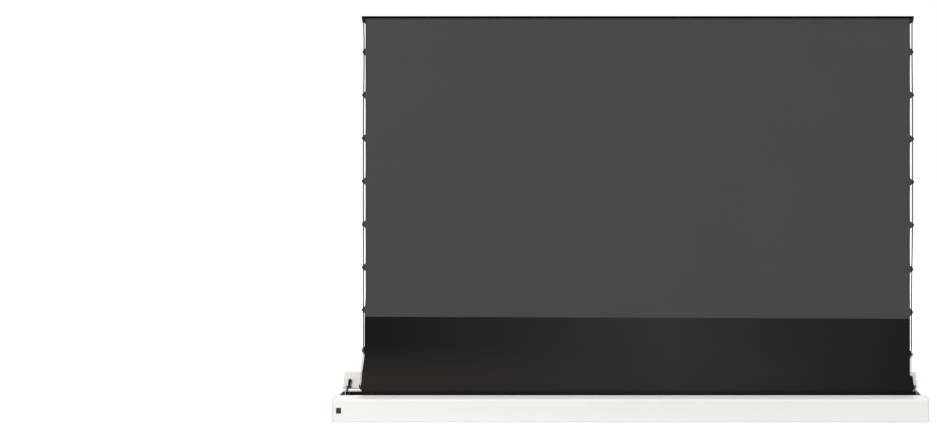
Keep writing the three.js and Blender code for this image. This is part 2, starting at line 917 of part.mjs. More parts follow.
// The base bracket stands behind the lower arm's foot, with a stub pin through it
function baseBracket() {
  const foot = floorTop + seat;
  const ear = layerTwo + seat;
  const outline = outlineOf([
    [ear, foot],
    [ear + pivotPlate + bracketFoot / 2, foot],
    [ear + pivotPlate + bracketFoot / 2, foot + bracketPlate],
    [ear + pivotPlate, foot + bracketPlate],
    [ear + pivotPlate, basePivotHeight + pinHeadRadius],
    [ear, basePivotHeight + pinHeadRadius],
  ]);
  const body = alongX(outline, basePoint[0] - pivotBracketLength / 2, pivotBracketLength);
  const front = layerOne - seat;
  const stub = turnedY(
    [
      [0, front - pinHeadHeight],
      [pinHeadRadius, front - pinHeadHeight],
      [pinHeadRadius, front],
      [pinRadius, front],
      [pinRadius, ear + pivotPlate / 2],
      [0, ear + pivotPlate / 2],
    ],
    basePoint[0],
    basePoint[1],
    14
  );
  return joined(body, stub);
}

add('base_bracket', baseBracket(), steel());

// Top bar, with its rear track and bracket
const barStart = fabricCentre - barLength / 2;
const barRear = barFront + barDepth;
const barCap = 2;
const barLow = barTop - barHeight;
const barEdge = 1.5;

function topBar() {
  const half = fabricThickness / 2 + seat;
  const outline = outlineOf([
    [barFront, barLow],
    [fabricPlane - half, barLow],
    [fabricPlane - half, barLow + barGroove],
    [fabricPlane + half, barLow + barGroove],
    [fabricPlane + half, barLow],
    [barRear, barLow],
    ...arcPoints(barRear - barEdge, barTop - barEdge, barEdge, 0, 90, 3),
    ...arcPoints(barFront + barEdge, barTop - barEdge, barEdge, 90, 180, 3),
  ]);
  return alongX(outline, barStart + barCap + seat, barLength - 2 * (barCap + seat));
}

function topTrack() {
  const outline = channelOutline(upperMouth, -1, raisedPivotHeight, raisedPivotHeight - channelHalf);
  return alongX(outline, trackStart, trackTravel);
}

// The top bracket hooks over the upper end of the left arm, with a stub pin rearwards
function topBracket() {
  const face = barRear + seat;
  const shelf = raisedPivotHeight + armHalf;
  const earRear = layerOne + armThickness - 2 * seat;
  const low = raisedPivotHeight - pinHeadRadius - seat;
  const outline = outlineOf([
    [face, barLow],
    [face + profileWall, barLow],
    [face + profileWall, shelf - profileWall],
    [earRear - pivotPlate, shelf - profileWall],
    [earRear - pivotPlate, low],
    [earRear, low],
    [earRear, shelf],
    [face, shelf],
  ]);
  const body = alongX(outline, upperLeft[0] - pivotBracketLength / 2, pivotBracketLength);
  const rear = layerTwo + armThickness + seat;
  const stub = turnedY(
    [
      [0, earRear - pivotPlate / 2],
      [pinRadius, earRear - pivotPlate / 2],
      [pinRadius, rear],
      [pinHeadRadius, rear],
      [pinHeadRadius, rear + pinHeadHeight],
      [0, rear + pinHeadHeight],
    ],
    upperLeft[0],
    upperLeft[1],
    14
  );
  return joined(body, stub);
}

const anchorSide = 11;
const anchorReach = 28;
const anchorEyelet = 22;
const anchorEyeletWidth = 9;

// A cord anchor caps one end of the bar
// Its wedge slopes down to the fabric's edge and its eyelet holds the cord
function cordAnchor(side) {
  const end = fabricCentre + (side * barLength) / 2;
  const cap = end - side * barCap;
  const inside = fabricCentre + side * (fabricHalf + seat);
  const cord = fabricCentre + side * (fabricHalf + cordOffset);
  const wedgeFront = fabricPlane - fabricThickness / 2;
  const wedge = alongY(
    outlineOf([
      [barLow - seat, inside],
      [barLow - seat, end],
      [barLow - anchorSide, end],
      [barLow - anchorReach, inside],
    ]),
    wedgeFront,
    barRear - wedgeFront
  );
  const eyelet = block(
    cord - anchorEyeletWidth / 2,
    cord + anchorEyeletWidth / 2,
    fabricPlane - cordRadius - seat,
    barRear,
    barLow - anchorEyelet,
    barLow - 2 * seat
  );
  const cheek = block(Math.min(cap, end), Math.max(cap, end), barFront, barRear, barLow - 2 * seat, barTop);
  return joined(wedge, eyelet, cheek);
}

add('top_bar', topBar(), blackAluminium());
add('top_track', topTrack(), bareAluminium());
add('top_bracket', topBracket(), steel());
add('cord_anchor_left', cordAnchor(-1), blackPlastic());
add('cord_anchor_right', cordAnchor(1), blackPlastic());

// Fabric: a grey viewing sheet and the black drop below it, with tabs along both edges
const tabReach = cordOffset - clipWidth / 2 - seat;
const tabHeights = Array.from({ length: tabCount }, (_, i) => barLow - tabFirstDrop - i * tabPitch);

function edgeAt(z) {
  const share = THREE.MathUtils.clamp((taperTop - z) / (taperTop - wideTop), 0, 1);
  return fabricHalf + wideMargin * THREE.MathUtils.smoothstep(share, 0, 1);
}

// The right edge from low to high, as [offset from the fabric's centre, height]
function edgePoints(low, high) {
  const taperSteps = 6;
  const places = [low, high];
  for (let i = 0; i <= taperSteps; i += 1) places.push(wideTop + ((taperTop - wideTop) * i) / taperSteps);
  const kept = places.filter((z) => z >= low && z <= high).map((z) => [edgeAt(z), z]);
  tabHeights
    .filter((z) => z > low && z < high)
    .forEach((z) => {
      const tip = edgeAt(z) + tabReach;
      kept.push([edgeAt(z - tabHeight / 2), z - tabHeight / 2], [tip, z - tabTipHeight / 2]);
      kept.push([tip, z + tabTipHeight / 2], [edgeAt(z + tabHeight / 2), z + tabHeight / 2]);
    });
  return kept.sort((a, b) => a[1] - b[1]);
}

function fabricPiece(low, high) {
  const edge = edgePoints(low, high);
  const right = edge.map(([offset, z]) => [z, fabricCentre + offset]);
  const left = edge.map(([offset, z]) => [z, fabricCentre - offset]).reverse();
  return alongY(outlineOf([...left, ...right]), fabricPlane - fabricThickness / 2, fabricThickness);
}

const rollerTangent = rollerHeight;
add('view_fabric', fabricPiece(dropTop + seat, barLow + barGroove - seat), greyFabric());
add('drop_fabric', fabricPiece(rollerTangent, dropTop), blackFabric());

// Tension cords, with a clip at each tab
const lastClipOffset = wideMargin + seat + clipWidth / 2;
const cordTop = barLow - anchorEyelet - seat;
const cordEnd = lastTabHeight - clipHeight / 4;

function clip(x, z) {
  const corner = clipHeight / 4;
  const a = z - clipHeight / 2;
  const b = z + clipHeight / 2;
  const c = x - clipWidth / 2;
  const d = x + clipWidth / 2;
  const outline = outlineOf([
    [a, c + corner],
    [a + corner, c],
    [b - corner, c],
    [b, c + corner],
    [b, d - corner],
    [b - corner, d],
    [a + corner, d],
    [a, d - corner],
  ].reverse());
  return alongY(outline, fabricPlane - clipThickness / 2, clipThickness);
}

function tensionCord(side) {
  const x = (offset) => fabricCentre + side * (fabricHalf + offset);
  const route = [
    [cordOffset, cordTop],
    [cordOffset, (cordTop + taperTop) / 2],
    [cordOffset, taperTop + tabHeight],
    [cordOffset + (lastClipOffset - cordOffset) / 4, taperTop - tabHeight],
    [lastClipOffset - (lastClipOffset - cordOffset) / 6, wideTop + tabHeight],
    [lastClipOffset, wideTop - tabHeight / 4],
    [lastClipOffset, cordEnd],
  ].map(([offset, z]) => new THREE.Vector3(x(offset), fabricPlane, z));
  const curve = new THREE.CatmullRomCurve3(route, false, 'centripetal');
  const section = outlineOf(arcPoints(0, 0, cordRadius, 0, 315, 7));
  const tube = new THREE.ExtrudeGeometry(section, { steps: 36, extrudePath: curve });
  const clips = tabHeights.map((z) => clip(x(cordOffset), z));
  return joined(tube, ...clips, clip(x(lastClipOffset), lastTabHeight));
}

add('cord_left', tensionCord(-1), greyCord());
add('cord_right', tensionCord(1), greyCord());

// Lid, drawn closed about its hinge and turned open
const lid = new THREE.Group();
lid.position.set(0, hingeY, hingeZ);
lid.rotation.x = -THREE.MathUtils.degToRad(lidOpenAngle);
group.add(lid);
const lidTop = hingeInset;
const lidUnder = hingeInset - lidThickness;

function lidPanel() {
  const outer = hingeInset;
  const inner = hingeBeadRadius + seat;
  const underAngle = 180 + THREE.MathUtils.radToDeg(Math.asin(-lidUnder / outer));
  const corner = lidEdgeRadius;
  const outline = outlineOf([
    ...arcPoints(0, 0, outer, hookHighAngle, 90, 5),
    ...arcPoints(lidFront + corner, lidTop - corner, corner, 90, 180, 3),
    ...arcPoints(lidFront + corner, lidUnder + corner, corner, 180, 270, 3),
    ...arcPoints(0, 0, outer, underAngle, hookLowAngle, 2),
    ...arcPoints(0, 0, inner, hookLowAngle, hookHighAngle, 14),
  ]);
  const low = lidFront + lidSkin + corner / 2;
  const high = -inner - hookWall - lidSkin;
  const chambers = 3;
  const span = (high - low - (chambers - 1) * lidRib) / chambers;
  const length = lidLength - 2 * (lidCapThickness + seat);
  const half = length / 2 + cutOverrun;
  const hollows = [];
  for (let i = 0; i < chambers; i += 1) {
    const start = low + i * (span + lidRib);
    hollows.push(block(-half, half, start, start + span, lidUnder + lidSkin, lidTop - lidSkin));
  }
  return cut(alongX(outline, -length / 2, length), ...hollows);
}

function lidCap(side) {
  const corner = lidEdgeRadius;
  const rear = -hingeInset;
  const outline = outlineOf([
    [rear, lidUnder],
    [rear, lidTop],
    ...arcPoints(lidFront + corner, lidTop - corner, corner, 90, 180, 3),
    ...arcPoints(lidFront + corner, lidUnder + corner, corner, 180, 270, 3),
  ]);
  outline.holes.push(circleHole((lidFront + rear) / 2, (lidTop + lidUnder) / 2, portBore, 10));
  const start = side < 0 ? -lidLength / 2 : lidLength / 2 - lidCapThickness;
  return alongX(outline, start, lidCapThickness);
}

add('lid_panel', lidPanel(), whiteAluminium(), lid);
add('lid_cap_left', lidCap(-1), whitePlastic(), lid);
add('lid_cap_right', lidCap(1), whitePlastic(), lid);

// Lid lift: a torque tube with a lever and roller at each end, drawn open
const leverPivot = [hingeY - leverPivotInset + hingeInset, leverPivotHeight];
const tubeCentre = [leverPivot[0] - liftTubeForward, leverPivot[1] + liftTubeRise];
const open = THREE.MathUtils.degToRad(lidOpenAngle);
const rollerStandOff = -lidUnder + leverRollerRadius + seat;
const leverTip = [
  hingeY - leverRollerReach * Math.cos(open) - rollerStandOff * Math.sin(open),
  hingeZ + leverRollerReach * Math.sin(open) - rollerStandOff * Math.cos(open),
];
const pivotBoss = 8;
const tubeCollar = 11.5;
const tipRing = 9.25;
const boltRadius = 4;
const domeRadius = 7;
const domeHeight = 4.5;
const studRadius = 2;
const studReach = 8;
const studHead = 3.2;
const rivetBack = 4;
const rivetRise = 16.5;
const rivetRadius = 5.5;
const rivetReach = 12;
const leverBracketGap = 1;
const springTop = [tubeCentre[0] - springStudForward, tubeCentre[1] + springStudRise];
const springFoot = [rollerY + bracketRearReach + leverBracketGap + pivotBoss, springPostHeight];
const springOffset = 4.5;

function leverX(side) {
  return side < 0 ? -housingLength / 2 + leverInsetLeft : housingLength / 2 - leverInsetRight;
}

function dome(radius, height, base, y, z, side) {
  const profile = [[0, 0], [radius, 0]];
  arcPoints(0, 0, radius, 0, 90, 4)
    .slice(1)
    .forEach(([r, h]) => profile.push([Math.max(r, 0), (h * height) / radius]));
  const cleaned = profile.map(([r, h]) => [r < seat / 10 ? 0 : r, h]);
  const geometry = turnedX(cleaned, 0, 0, 14);
  if (side < 0) geometry.rotateY(Math.PI);
  return geometry.translate(base, y, z);
}

// The stamped lever plate
// A boss on the pivot, a collar on the tube, a ring at the tip and an ear for the spring
function lever(side) {
  const middle = leverX(side);
  const start = middle - leverPlate / 2;
  const plates = [
    strap(leverPivot, pivotBoss, tubeCentre, tubeCollar),
    strap(tubeCentre, tubeCollar, leverTip, tipRing),
    strap(tubeCentre, tubeCollar, springTop, 2 * studRadius),
  ].map((outline) => alongX(outline, start, leverPlate));
  const holes = [
    [leverPivot, boltRadius + seat],
    [tubeCentre, liftTubeRadius + seat],
    [leverTip, boltRadius + seat],
  ].map(([[y, z], radius]) => {
    const [from, to] = [start - cutOverrun, start + leverPlate + cutOverrun];
    return turnedX(pinProfile(radius, from, to), y, z, 20);
  });
  const far = middle + side * (leverPlate / 2 + studReach);
  const [near, end] = [Math.min(middle, far), Math.max(middle, far)];
  const headNear = side < 0 ? near : end - studRadius / 2;
  const stud = turnedX(pinProfile(studRadius, near, end), ...springTop, 10);
  const head = turnedX(pinProfile(studHead, headNear, headNear + studRadius / 2), ...springTop, 10);
  const rivetSpot = [tubeCentre[0] + rivetBack, tubeCentre[1] + rivetRise];
  const rivetEnd = middle - side * rivetReach;
  const [low, high] = [Math.min(middle, rivetEnd), Math.max(middle, rivetEnd)];
  const spacer = turnedX(pinProfile(boltRadius, low, high), ...rivetSpot, 14);
  const rivet = dome(rivetRadius, domeHeight, rivetEnd, ...rivetSpot, -side);
  return joined(cut(joined(...plates), ...holes), stud, head, spacer, rivet);
}

// The bolt at a lever's tip: a domed head outside, a shank through the roller, a flange inside
function leverBolt(side) {
  const middle = leverX(side);
  const outer = middle + side * (leverPlate / 2 + seat);
  const inner = middle - side * (leverPlate / 2 + leverRollerWidth + 3 * seat);
  const flange = inner - side * lidCapThickness;
  const [low, high] = [Math.min(inner, outer), Math.max(inner, outer)];
  const shank = turnedX(pinProfile(boltRadius, low, high), ...leverTip, 14);
  const disc = turnedX(pinProfile(domeRadius, Math.min(inner, flange), Math.max(inner, flange)), ...leverTip, 14);
  return joined(shank, disc, dome(domeRadius, domeHeight, outer, ...leverTip, side));
}

function leverRoller(side) {
  const middle = leverX(side);
  const near = middle - side * (leverPlate / 2 + seat);
  const far = near - side * leverRollerWidth;
  const [low, high] = [Math.min(near, far), Math.max(near, far)];
  const bore = boltRadius + seat;
  const chamfer = trackWall;
  const profile = [
    [bore, low],
    [leverRollerRadius - chamfer, low],
    [leverRollerRadius, low + chamfer],
    [leverRollerRadius, high - chamfer],
    [leverRollerRadius - chamfer, high],
    [bore, high],
    [bore, low],
  ];
  return turnedX(profile, ...leverTip, 20);
}

function liftTube() {
  const start = endCapThickness + portInset - housingLength / 2;
  const end = housingLength / 2 - endCapThickness - portInset;
  const inside = liftTubeRadius - liftTubeWall;
  return turnedX(sleeve(inside, liftTubeRadius, start, end), ...tubeCentre, 20);
}

// The lever bracket stands on the floor profile inside the lever
// It carries the lever's stub pin and the spring's post
function leverBracket(side) {
  const foot = floorTop + 2 * seat + profileWall;
  const plateX = leverX(side) - side * (leverPlate / 2 + seat);
  const low = Math.min(plateX, plateX - side * bracketPlate);
  const rear = rearY - profileWall - 2 * portInset - 2 * seat;
  const step = rearY - profileWall - joinStripWidth - 2 * seat;
  const front = springFoot[0] - pivotBoss;
  const upright = leverPivot[0] - pivotBoss - trackWall;
  const shelf = springFoot[1] + 2 * studRadius;
  const outline = outlineOf([
    [front, floorTop + seat],
    [step, floorTop + seat],
    [step, foot],
    [rear, foot],
    [rear, foot + 2 * portInset],
    [leverPivot[0] + pivotBoss, foot + 2 * portInset + pivotBoss],
    ...arcPoints(...leverPivot, pivotBoss, 0, 180, 8),
    [upright, shelf + pivotBoss],
    [upright - pivotBoss, shelf],
    [front, shelf],
  ]);
  const plate = alongX(outline, low, bracketPlate);
  const flange = block(
    Math.min(plateX, plateX - side * bracketFoot / 2),
    Math.max(plateX, plateX - side * bracketFoot / 2),
    front,
    step,
    floorTop + seat,
    floorTop + seat + bracketPlate
  );
  const pinStart = plateX - side * bracketPlate / 2;
  const pinEnd = leverX(side) + side * (leverPlate / 2 + seat);
  const headEnd = pinEnd + side * trackWall;
  const between = (radius, a, b) => pinProfile(radius, Math.min(a, b), Math.max(a, b));
  const pin = turnedX(between(boltRadius, pinStart, pinEnd), ...leverPivot, 14);
  const head = turnedX(between(domeRadius, pinEnd, headEnd), ...leverPivot, 14);
  const postEnd = leverX(side) + side * (leverPlate / 2 + studReach);
  const post = turnedX(between(studRadius, pinStart, postEnd), ...springFoot, 10);
  return joined(plate, flange, pin, head, post);
}

add('lift_tube', liftTube(), whiteAluminium());
add('lever_left', lever(-1), darkSteel());
add('lever_right', lever(1), darkSteel());
add('lever_bolt_left', leverBolt(-1), darkSteel());
add('lever_bolt_right', leverBolt(1), darkSteel());
add('lever_roller_left', leverRoller(-1), blackPlastic());
add('lever_roller_right', leverRoller(1), blackPlastic());
add('lever_bracket_left', leverBracket(-1), steel());
add('lever_bracket_right', leverBracket(1), steel());

// Extension springs: an eye round the lever's stud, the coil, and an eye round the bracket's post
const springCurls = 40;
const springWire = 0.6;
const springLeg = 5;
const curlSteps = 8;
const wireSides = 5;

function springPoints(side) {
  const radius = studRadius + seat + springWire;
  const x = leverX(side) + side * (leverPlate / 2 + springOffset);
  const top = new THREE.Vector3(x, ...springTop);
  const foot = new THREE.Vector3(x, ...springFoot);
  const down = foot.clone().sub(top).normalize();
  const out = new THREE.Vector3(side, 0, 0);
  const across = new THREE.Vector3().crossVectors(down, out);
  const at = (origin, ...parts) => {
    const point = origin.clone();
    parts.forEach(([axis, amount]) => point.addScaledVector(axis, amount));
    return point;
  };
  const points = [];
  const eyeSteps = 7;
  const eyeTurn = 250;
  for (let i = 0; i <= eyeSteps; i += 1) {
    const angle = THREE.MathUtils.degToRad(90 - eyeTurn + (eyeTurn * i) / eyeSteps);
    points.push(at(top, [down, -radius * Math.cos(angle)], [across, radius * Math.sin(angle)]));
  }
  const lead = radius + springLeg;
  const run = foot.distanceTo(top) - 2 * lead;
  const steps = springCurls * curlSteps;
  for (let i = 0; i <= steps; i += 1) {
    const angle = (i / curlSteps) * 2 * Math.PI;
    const centre = at(top, [down, lead + (run * i) / steps]);
    points.push(at(centre, [across, radius * Math.cos(angle)], [out, radius * Math.sin(angle)]));
  }
  for (let i = 0; i <= eyeSteps; i += 1) {
    const angle = THREE.MathUtils.degToRad((eyeTurn * i) / eyeSteps);
    points.push(at(foot, [down, radius * Math.sin(angle)], [across, radius * Math.cos(angle)]));
  }
  return points;
}

// The least distance between the wire's surfaces, over points more than half a curl apart
function leastGap(points) {
  let least = Infinity;
  for (let i = 0; i < points.length; i += 1) {
    for (let j = i + curlSteps / 2; j < points.length; j += 1) {
      least = Math.min(least, points[i].distanceTo(points[j]));
    }
  }
  return least - 2 * springWire;
}

// A tube of a few sides along the points, closed at both ends
function wire(points) {
  const positions = [];
  const indices = [];
  const normal = new THREE.Vector3();
  const tangent = new THREE.Vector3();
  points.forEach((point, i) => {
    const before = points[Math.max(i - 1, 0)];
    const after = points[Math.min(i + 1, points.length - 1)];
    tangent.subVectors(after, before).normalize();
    if (i === 0) normal.set(1, 0, 0);
    normal.addScaledVector(tangent, -normal.dot(tangent)).normalize();
    const side = new THREE.Vector3().crossVectors(tangent, normal);
    for (let k = 0; k < wireSides; k += 1) {
      const angle = (k / wireSides) * 2 * Math.PI;
      const rim = point.clone();
      rim.addScaledVector(normal, springWire * Math.cos(angle));
      rim.addScaledVector(side, springWire * Math.sin(angle));
      positions.push(rim.x, rim.y, rim.z);
    }
  });
  for (let i = 0; i < points.length - 1; i += 1) {
    for (let k = 0; k < wireSides; k += 1) {
      const a = i * wireSides + k;
      const b = i * wireSides + ((k + 1) % wireSides);
      indices.push(a, b, b + wireSides, a, b + wireSides, a + wireSides);
    }
  }
  const last = (points.length - 1) * wireSides;
  for (let k = 1; k < wireSides - 1; k += 1) {
    indices.push(0, k + 1, k);
    indices.push(last, last + k, last + k + 1);
  }
  const geometry = new THREE.BufferGeometry();
  geometry.setAttribute('position', new THREE.Float32BufferAttribute(positions, 3));
  geometry.setIndex(indices);
  geometry.computeVertexNormals();
  return geometry;
}

const springLeft = springPoints(-1);
const springRight = springPoints(1);
console.log('least gap between the spring curls, mm:', leastGap(springLeft).toFixed(2));
add('spring_left', wire(springLeft), springSteel());
add('spring_right', wire(springRight), springSteel());

export default group;
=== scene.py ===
import json
import math
import bmesh
import bpy
import numpy as np
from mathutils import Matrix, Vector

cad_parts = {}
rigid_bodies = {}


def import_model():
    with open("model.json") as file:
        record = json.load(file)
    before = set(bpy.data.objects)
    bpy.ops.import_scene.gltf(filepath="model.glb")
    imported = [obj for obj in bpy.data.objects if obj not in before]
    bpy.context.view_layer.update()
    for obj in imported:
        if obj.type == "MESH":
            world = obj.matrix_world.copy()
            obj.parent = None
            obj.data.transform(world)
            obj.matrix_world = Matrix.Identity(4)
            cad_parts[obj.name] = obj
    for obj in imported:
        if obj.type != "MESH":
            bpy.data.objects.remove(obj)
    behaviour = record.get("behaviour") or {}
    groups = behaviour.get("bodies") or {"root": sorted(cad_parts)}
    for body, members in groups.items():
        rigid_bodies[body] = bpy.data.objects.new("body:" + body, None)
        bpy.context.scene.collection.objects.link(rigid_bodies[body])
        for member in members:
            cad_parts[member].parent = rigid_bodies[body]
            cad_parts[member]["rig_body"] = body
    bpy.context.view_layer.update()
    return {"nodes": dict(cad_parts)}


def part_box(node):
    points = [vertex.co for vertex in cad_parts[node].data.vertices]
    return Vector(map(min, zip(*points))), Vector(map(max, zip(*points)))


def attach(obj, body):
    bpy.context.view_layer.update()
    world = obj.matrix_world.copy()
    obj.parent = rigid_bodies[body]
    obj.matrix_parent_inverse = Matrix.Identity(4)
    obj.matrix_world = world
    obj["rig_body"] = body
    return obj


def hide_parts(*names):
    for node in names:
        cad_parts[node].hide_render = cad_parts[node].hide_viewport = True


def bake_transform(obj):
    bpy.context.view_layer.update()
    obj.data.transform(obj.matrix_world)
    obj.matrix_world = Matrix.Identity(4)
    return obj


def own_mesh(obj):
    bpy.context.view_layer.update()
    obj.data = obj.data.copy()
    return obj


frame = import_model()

scene = bpy.context.scene
MM = 0.001

# Camera: a level view with the lens shifted down and to the left, as the photograph was taken
camera = bpy.data.objects.new("camera", bpy.data.cameras.new("camera"))
camera.data.sensor_width = 36
camera.data.lens = 28.74
camera.data.shift_x = -0.1617
camera.data.shift_y = -0.1094
camera.data.clip_end = 100
camera.location = (-0.0506, -3.681, 1.497)
camera.rotation_euler = (math.radians(90), 0, 0)
scene.collection.objects.link(camera)
scene.camera = camera
scene.view_settings.view_transform = "Standard"

# Sizes repeated from the solids, in millimetres
OUTWARD = {"left": -1, "right": 1}
HOUSING_LENGTH, FRONT_Y = 2882, -75
FABRIC_CENTRE, FABRIC_HALF, FABRIC_PLANE = 36.5, 1335.5, -11.484
DROP_FOOT, DROP_TOP, HEM_LOW, BAR_LOW = 52, 487, 1925, 1956.5
HEM_TOP = BAR_LOW + 4.7
ROLLER_Y, ROLLER_Z = -39, 52
LEVER_X = {"left": -1408, "right": 1414}
STUD_OUT = 6
TUBE_CENTRE, LEVER_TIP = (53, 107.5), (71.0979, 148.6574)
SPRING_TOP, SPRING_FOOT, WIRE_RADIUS = (46, 128), (-4, 32), 0.6

# Sizes of the fabric and cords in the photograph, in millimetres: tab heights are listed for each side
STEP_HEIGHT, WIDE_MARGIN = 202, 14
WELD_SLOPE = 0.00365
TAB_PITCH, TAB_REACH, TAB_TALL = 211.2, 12.5, 34
TAB_HEIGHTS = BAR_LOW - 165 - TAB_PITCH * np.arange(8)
LAST_TAB = 151
TAB_PLACES = {
    -1: [*(TAB_HEIGHTS + [0, 0, 0, 0, 0, 0, 3, 14]), LAST_TAB],
    1: [*(TAB_HEIGHTS - [0, 0, 4, 4, 4, 10, 9, 6]), LAST_TAB],
}
CORD_RADIUS, CORD_TOP, CORD_FOOT = 2.6, BAR_LOW - 22.3, 148
FOOT_OFFSET = WIDE_MARGIN + 6
CLIP_OUT = 0.2


def linear(code):
    """The linear colour of an sRGB hex value."""
    parts = [int(code[i:i + 2], 16) / 255 for i in (1, 3, 5)]
    return (*[c / 12.92 if c <= 0.04045 else ((c + 0.055) / 1.055) ** 2.4 for c in parts], 1)


def add_node(tree, kind, inputs=(), **settings):
    """Adds one node with its settings; an input is a value or another node's output."""
    node = tree.nodes.new("ShaderNode" + kind)
    for key, value in settings.items():
        setattr(node, key, value)
    for key, value in dict(inputs).items():
        if isinstance(value, bpy.types.NodeSocket):
            tree.links.new(value, node.inputs[key])
        else:
            node.inputs[key].default_value = value
    return node


def mixed(tree, factor, low, high):
    """A colour between two, each a hex value or an output.

    A Mix node takes its two colours at sockets 6 and 7 and gives the mixed one at 2.
    """
    ends = [linear(end) if isinstance(end, str) else end for end in (low, high)]
    return add_node(tree, "Mix", {"Factor": factor, 6: ends[0], 7: ends[1]}, data_type="RGBA").outputs[2]


def mapped(tree, value, low=0, high=1, to_low=0, to_high=1):
    """A value's share of the way from low to high, held within them and spread over another range."""
    ends = {"From Min": low, "From Max": high, "To Min": to_low, "To Max": to_high}
    return add_node(tree, "MapRange", {"Value": value, **ends}).outputs["Result"]


def worked(tree, operation, *values):
    """The result of one Math node."""
    return add_node(tree, "Math", dict(enumerate(values)), operation=operation).outputs["Value"]


def moved(tree, place, scale=(1, 1, 1), rotation=(0, 0, 0)):
    """Coordinates scaled along their axes and then turned."""
    return add_node(tree, "Mapping", {"Vector": place, "Rotation": rotation, "Scale": scale}).outputs["Vector"]


def parted(tree, place):
    """The X, Y and Z of coordinates."""
    return add_node(tree, "SeparateXYZ", {"Vector": place}).outputs


def noise(tree, place, scale, detail=2, roughness=0.5, distortion=0):
    """A cloudy noise; its scale is in clouds to the metre."""
    values = {"Vector": place, "Scale": scale, "Detail": detail, "Roughness": roughness, "Distortion": distortion}
    return add_node(tree, "TexNoise", values).outputs["Fac"]


def bands(tree, place, spacing, direction, **values):
    """Soft bands that far apart; a wave texture of scale 1 has 20 radians to the metre."""
    values = {"Vector": place, "Scale": 2 * math.pi / (spacing * 20), **values}
    return add_node(tree, "TexWave", values, wave_type="BANDS", bands_direction=direction).outputs["Fac"]


def start_material(name, **sockets):
    """A material with one Principled shader: its tree, the shader and the Object coordinates."""
    material = bpy.data.materials.new(name)
    material.use_nodes = True
    tree = material.node_tree
    shader = tree.nodes["Principled BSDF"]
    for key, value in sockets.items():
        shader.inputs[key.replace("_", " ")].default_value = value
    return material, tree, shader, add_node(tree, "TexCoord").outputs["Object"]


def join_finish(tree, shader, colour, roughness, height=None, depth=0.0, strength=0.0):
    """Links a colour, a roughness and, with a height, a bump of that depth in metres to the shader."""
    tree.links.new(colour, shader.inputs["Base Color"])
    tree.links.new(roughness, shader.inputs["Roughness"])
    if height is not None:
        bump = add_node(tree, "Bump", {"Height": height, "Distance": depth, "Strength": strength})
        tree.links.new(bump.outputs["Normal"], shader.inputs["Normal"])


# Materials
def powder_coated_aluminium():
    """Extruded aluminium with a satin off-white powder coat: even colour, soft gloss, a fine orange peel.

    The peel is about 1 mm across; it is drawn at 3 mm so that it shows. Inside the housing the walls are painted near
    black from 12 mm below the rim, as painted shade. The lid's inner face, whose plane leans back by 20 degrees, is
    painted greyer as shade, more towards the hinge and at the left; its last 3 mm by the hinge are painted near
    black, a painted shadow line above the tube.
    """
    inner_wall, floor_top, inside_shade_start, inside_shade_full = 0.0728, 0.005, 0.098, 0.092
    lid_normal, lid_face, housing_top = (0, -0.9397, 0.342), (-0.0268, -0.0262), 0.1102
    left_shade, hinge_shade, hinge_shadow_line = (0.6, 1.3, 1.0, 0.3), (0.12, 0.22), (0.1145, 0.113)
    material, tree, shader, place = start_material("powder_coated_aluminium", IOR=1.5)
    peel = noise(tree, place, 1 / 0.003, 1.5, 0.4)
    coat = mixed(tree, noise(tree, place, 2.2, 3), "#F6F3F0", "#F2EFEC")
    spot = parted(tree, place)
    # Painted shade: the housing's inner walls turn near black from 12 mm below the rim.
    behind = worked(tree, "LESS_THAN", worked(tree, "ABSOLUTE", spot["Y"]), inner_wall)
    inside = worked(tree, "MULTIPLY", behind, worked(tree, "GREATER_THAN", spot["Z"], floor_top))
    inside_painted_shade = worked(tree, "MULTIPLY", inside, mapped(tree, spot["Z"], inside_shade_start, inside_shade_full))
    # Painted shade: the lid's inner face is drawn greyer, more at the left and lower down, with a near-black painted
    # shadow line by the hinge.
    lean = add_node(tree, "VectorMath", {0: place, 1: lid_normal}, operation="DOT_PRODUCT").outputs["Value"]
    over_housing = worked(tree, "GREATER_THAN", spot["Z"], housing_top)
    within = worked(tree, "MULTIPLY", mapped(tree, lean, *lid_face), over_housing)
    lid_painted_shade = worked(tree, "MULTIPLY", within, mapped(tree, spot["X"], *left_shade))
    thin = mixed(tree, mapped(tree, spot["Z"], *hinge_shade), "#D1CDC9", "#E6E3DF")
    lid_shade_and_hinge_shadow = mixed(tree, mapped(tree, spot["Z"], *hinge_shadow_line), thin, "#3A3734")
    tint = mixed(tree, inside_painted_shade, mixed(tree, lid_painted_shade, coat, lid_shade_and_hinge_shadow), "#1B1917")
    join_finish(tree, shader, tint, mapped(tree, peel, 0.3, 0.7, 0.4, 0.48), peel, 0.00008, 0.25)
    return material


def moulded_white_abs():
    """Injection moulded ABS with a fine spark-eroded texture: matt, slightly warm white.

    The texture is about 0.3 mm across; it is drawn at 1.2 mm so that it shows. The end caps' inner faces and upper
    edges are painted grey as shade.
    """
    inner_face, upper_edge, edge_reach = 1.4356, 0.11, 0.0012
    material, tree, shader, place = start_material("moulded_white_abs", IOR=1.53)
    grit = noise(tree, place, 1 / 0.0012, 2, 0.6)
    face = mixed(tree, noise(tree, place, 9), "#EAE8E4", "#E4E2DE")
    spot = parted(tree, place)
    # Painted shade: the caps' inner faces and upper edges are drawn grey.
    inside = worked(tree, "LESS_THAN", worked(tree, "ABSOLUTE", spot["X"]), inner_face)
    edge = worked(tree, "COMPARE", spot["Z"], upper_edge, edge_reach)
    tint = mixed(tree, worked(tree, "MAXIMUM", inside, edge), face, "#B8B5B0")
    join_finish(tree, shader, tint, mapped(tree, grit, 0, 1, 0.44, 0.58), grit, 0.00006, 0.35)
    return material


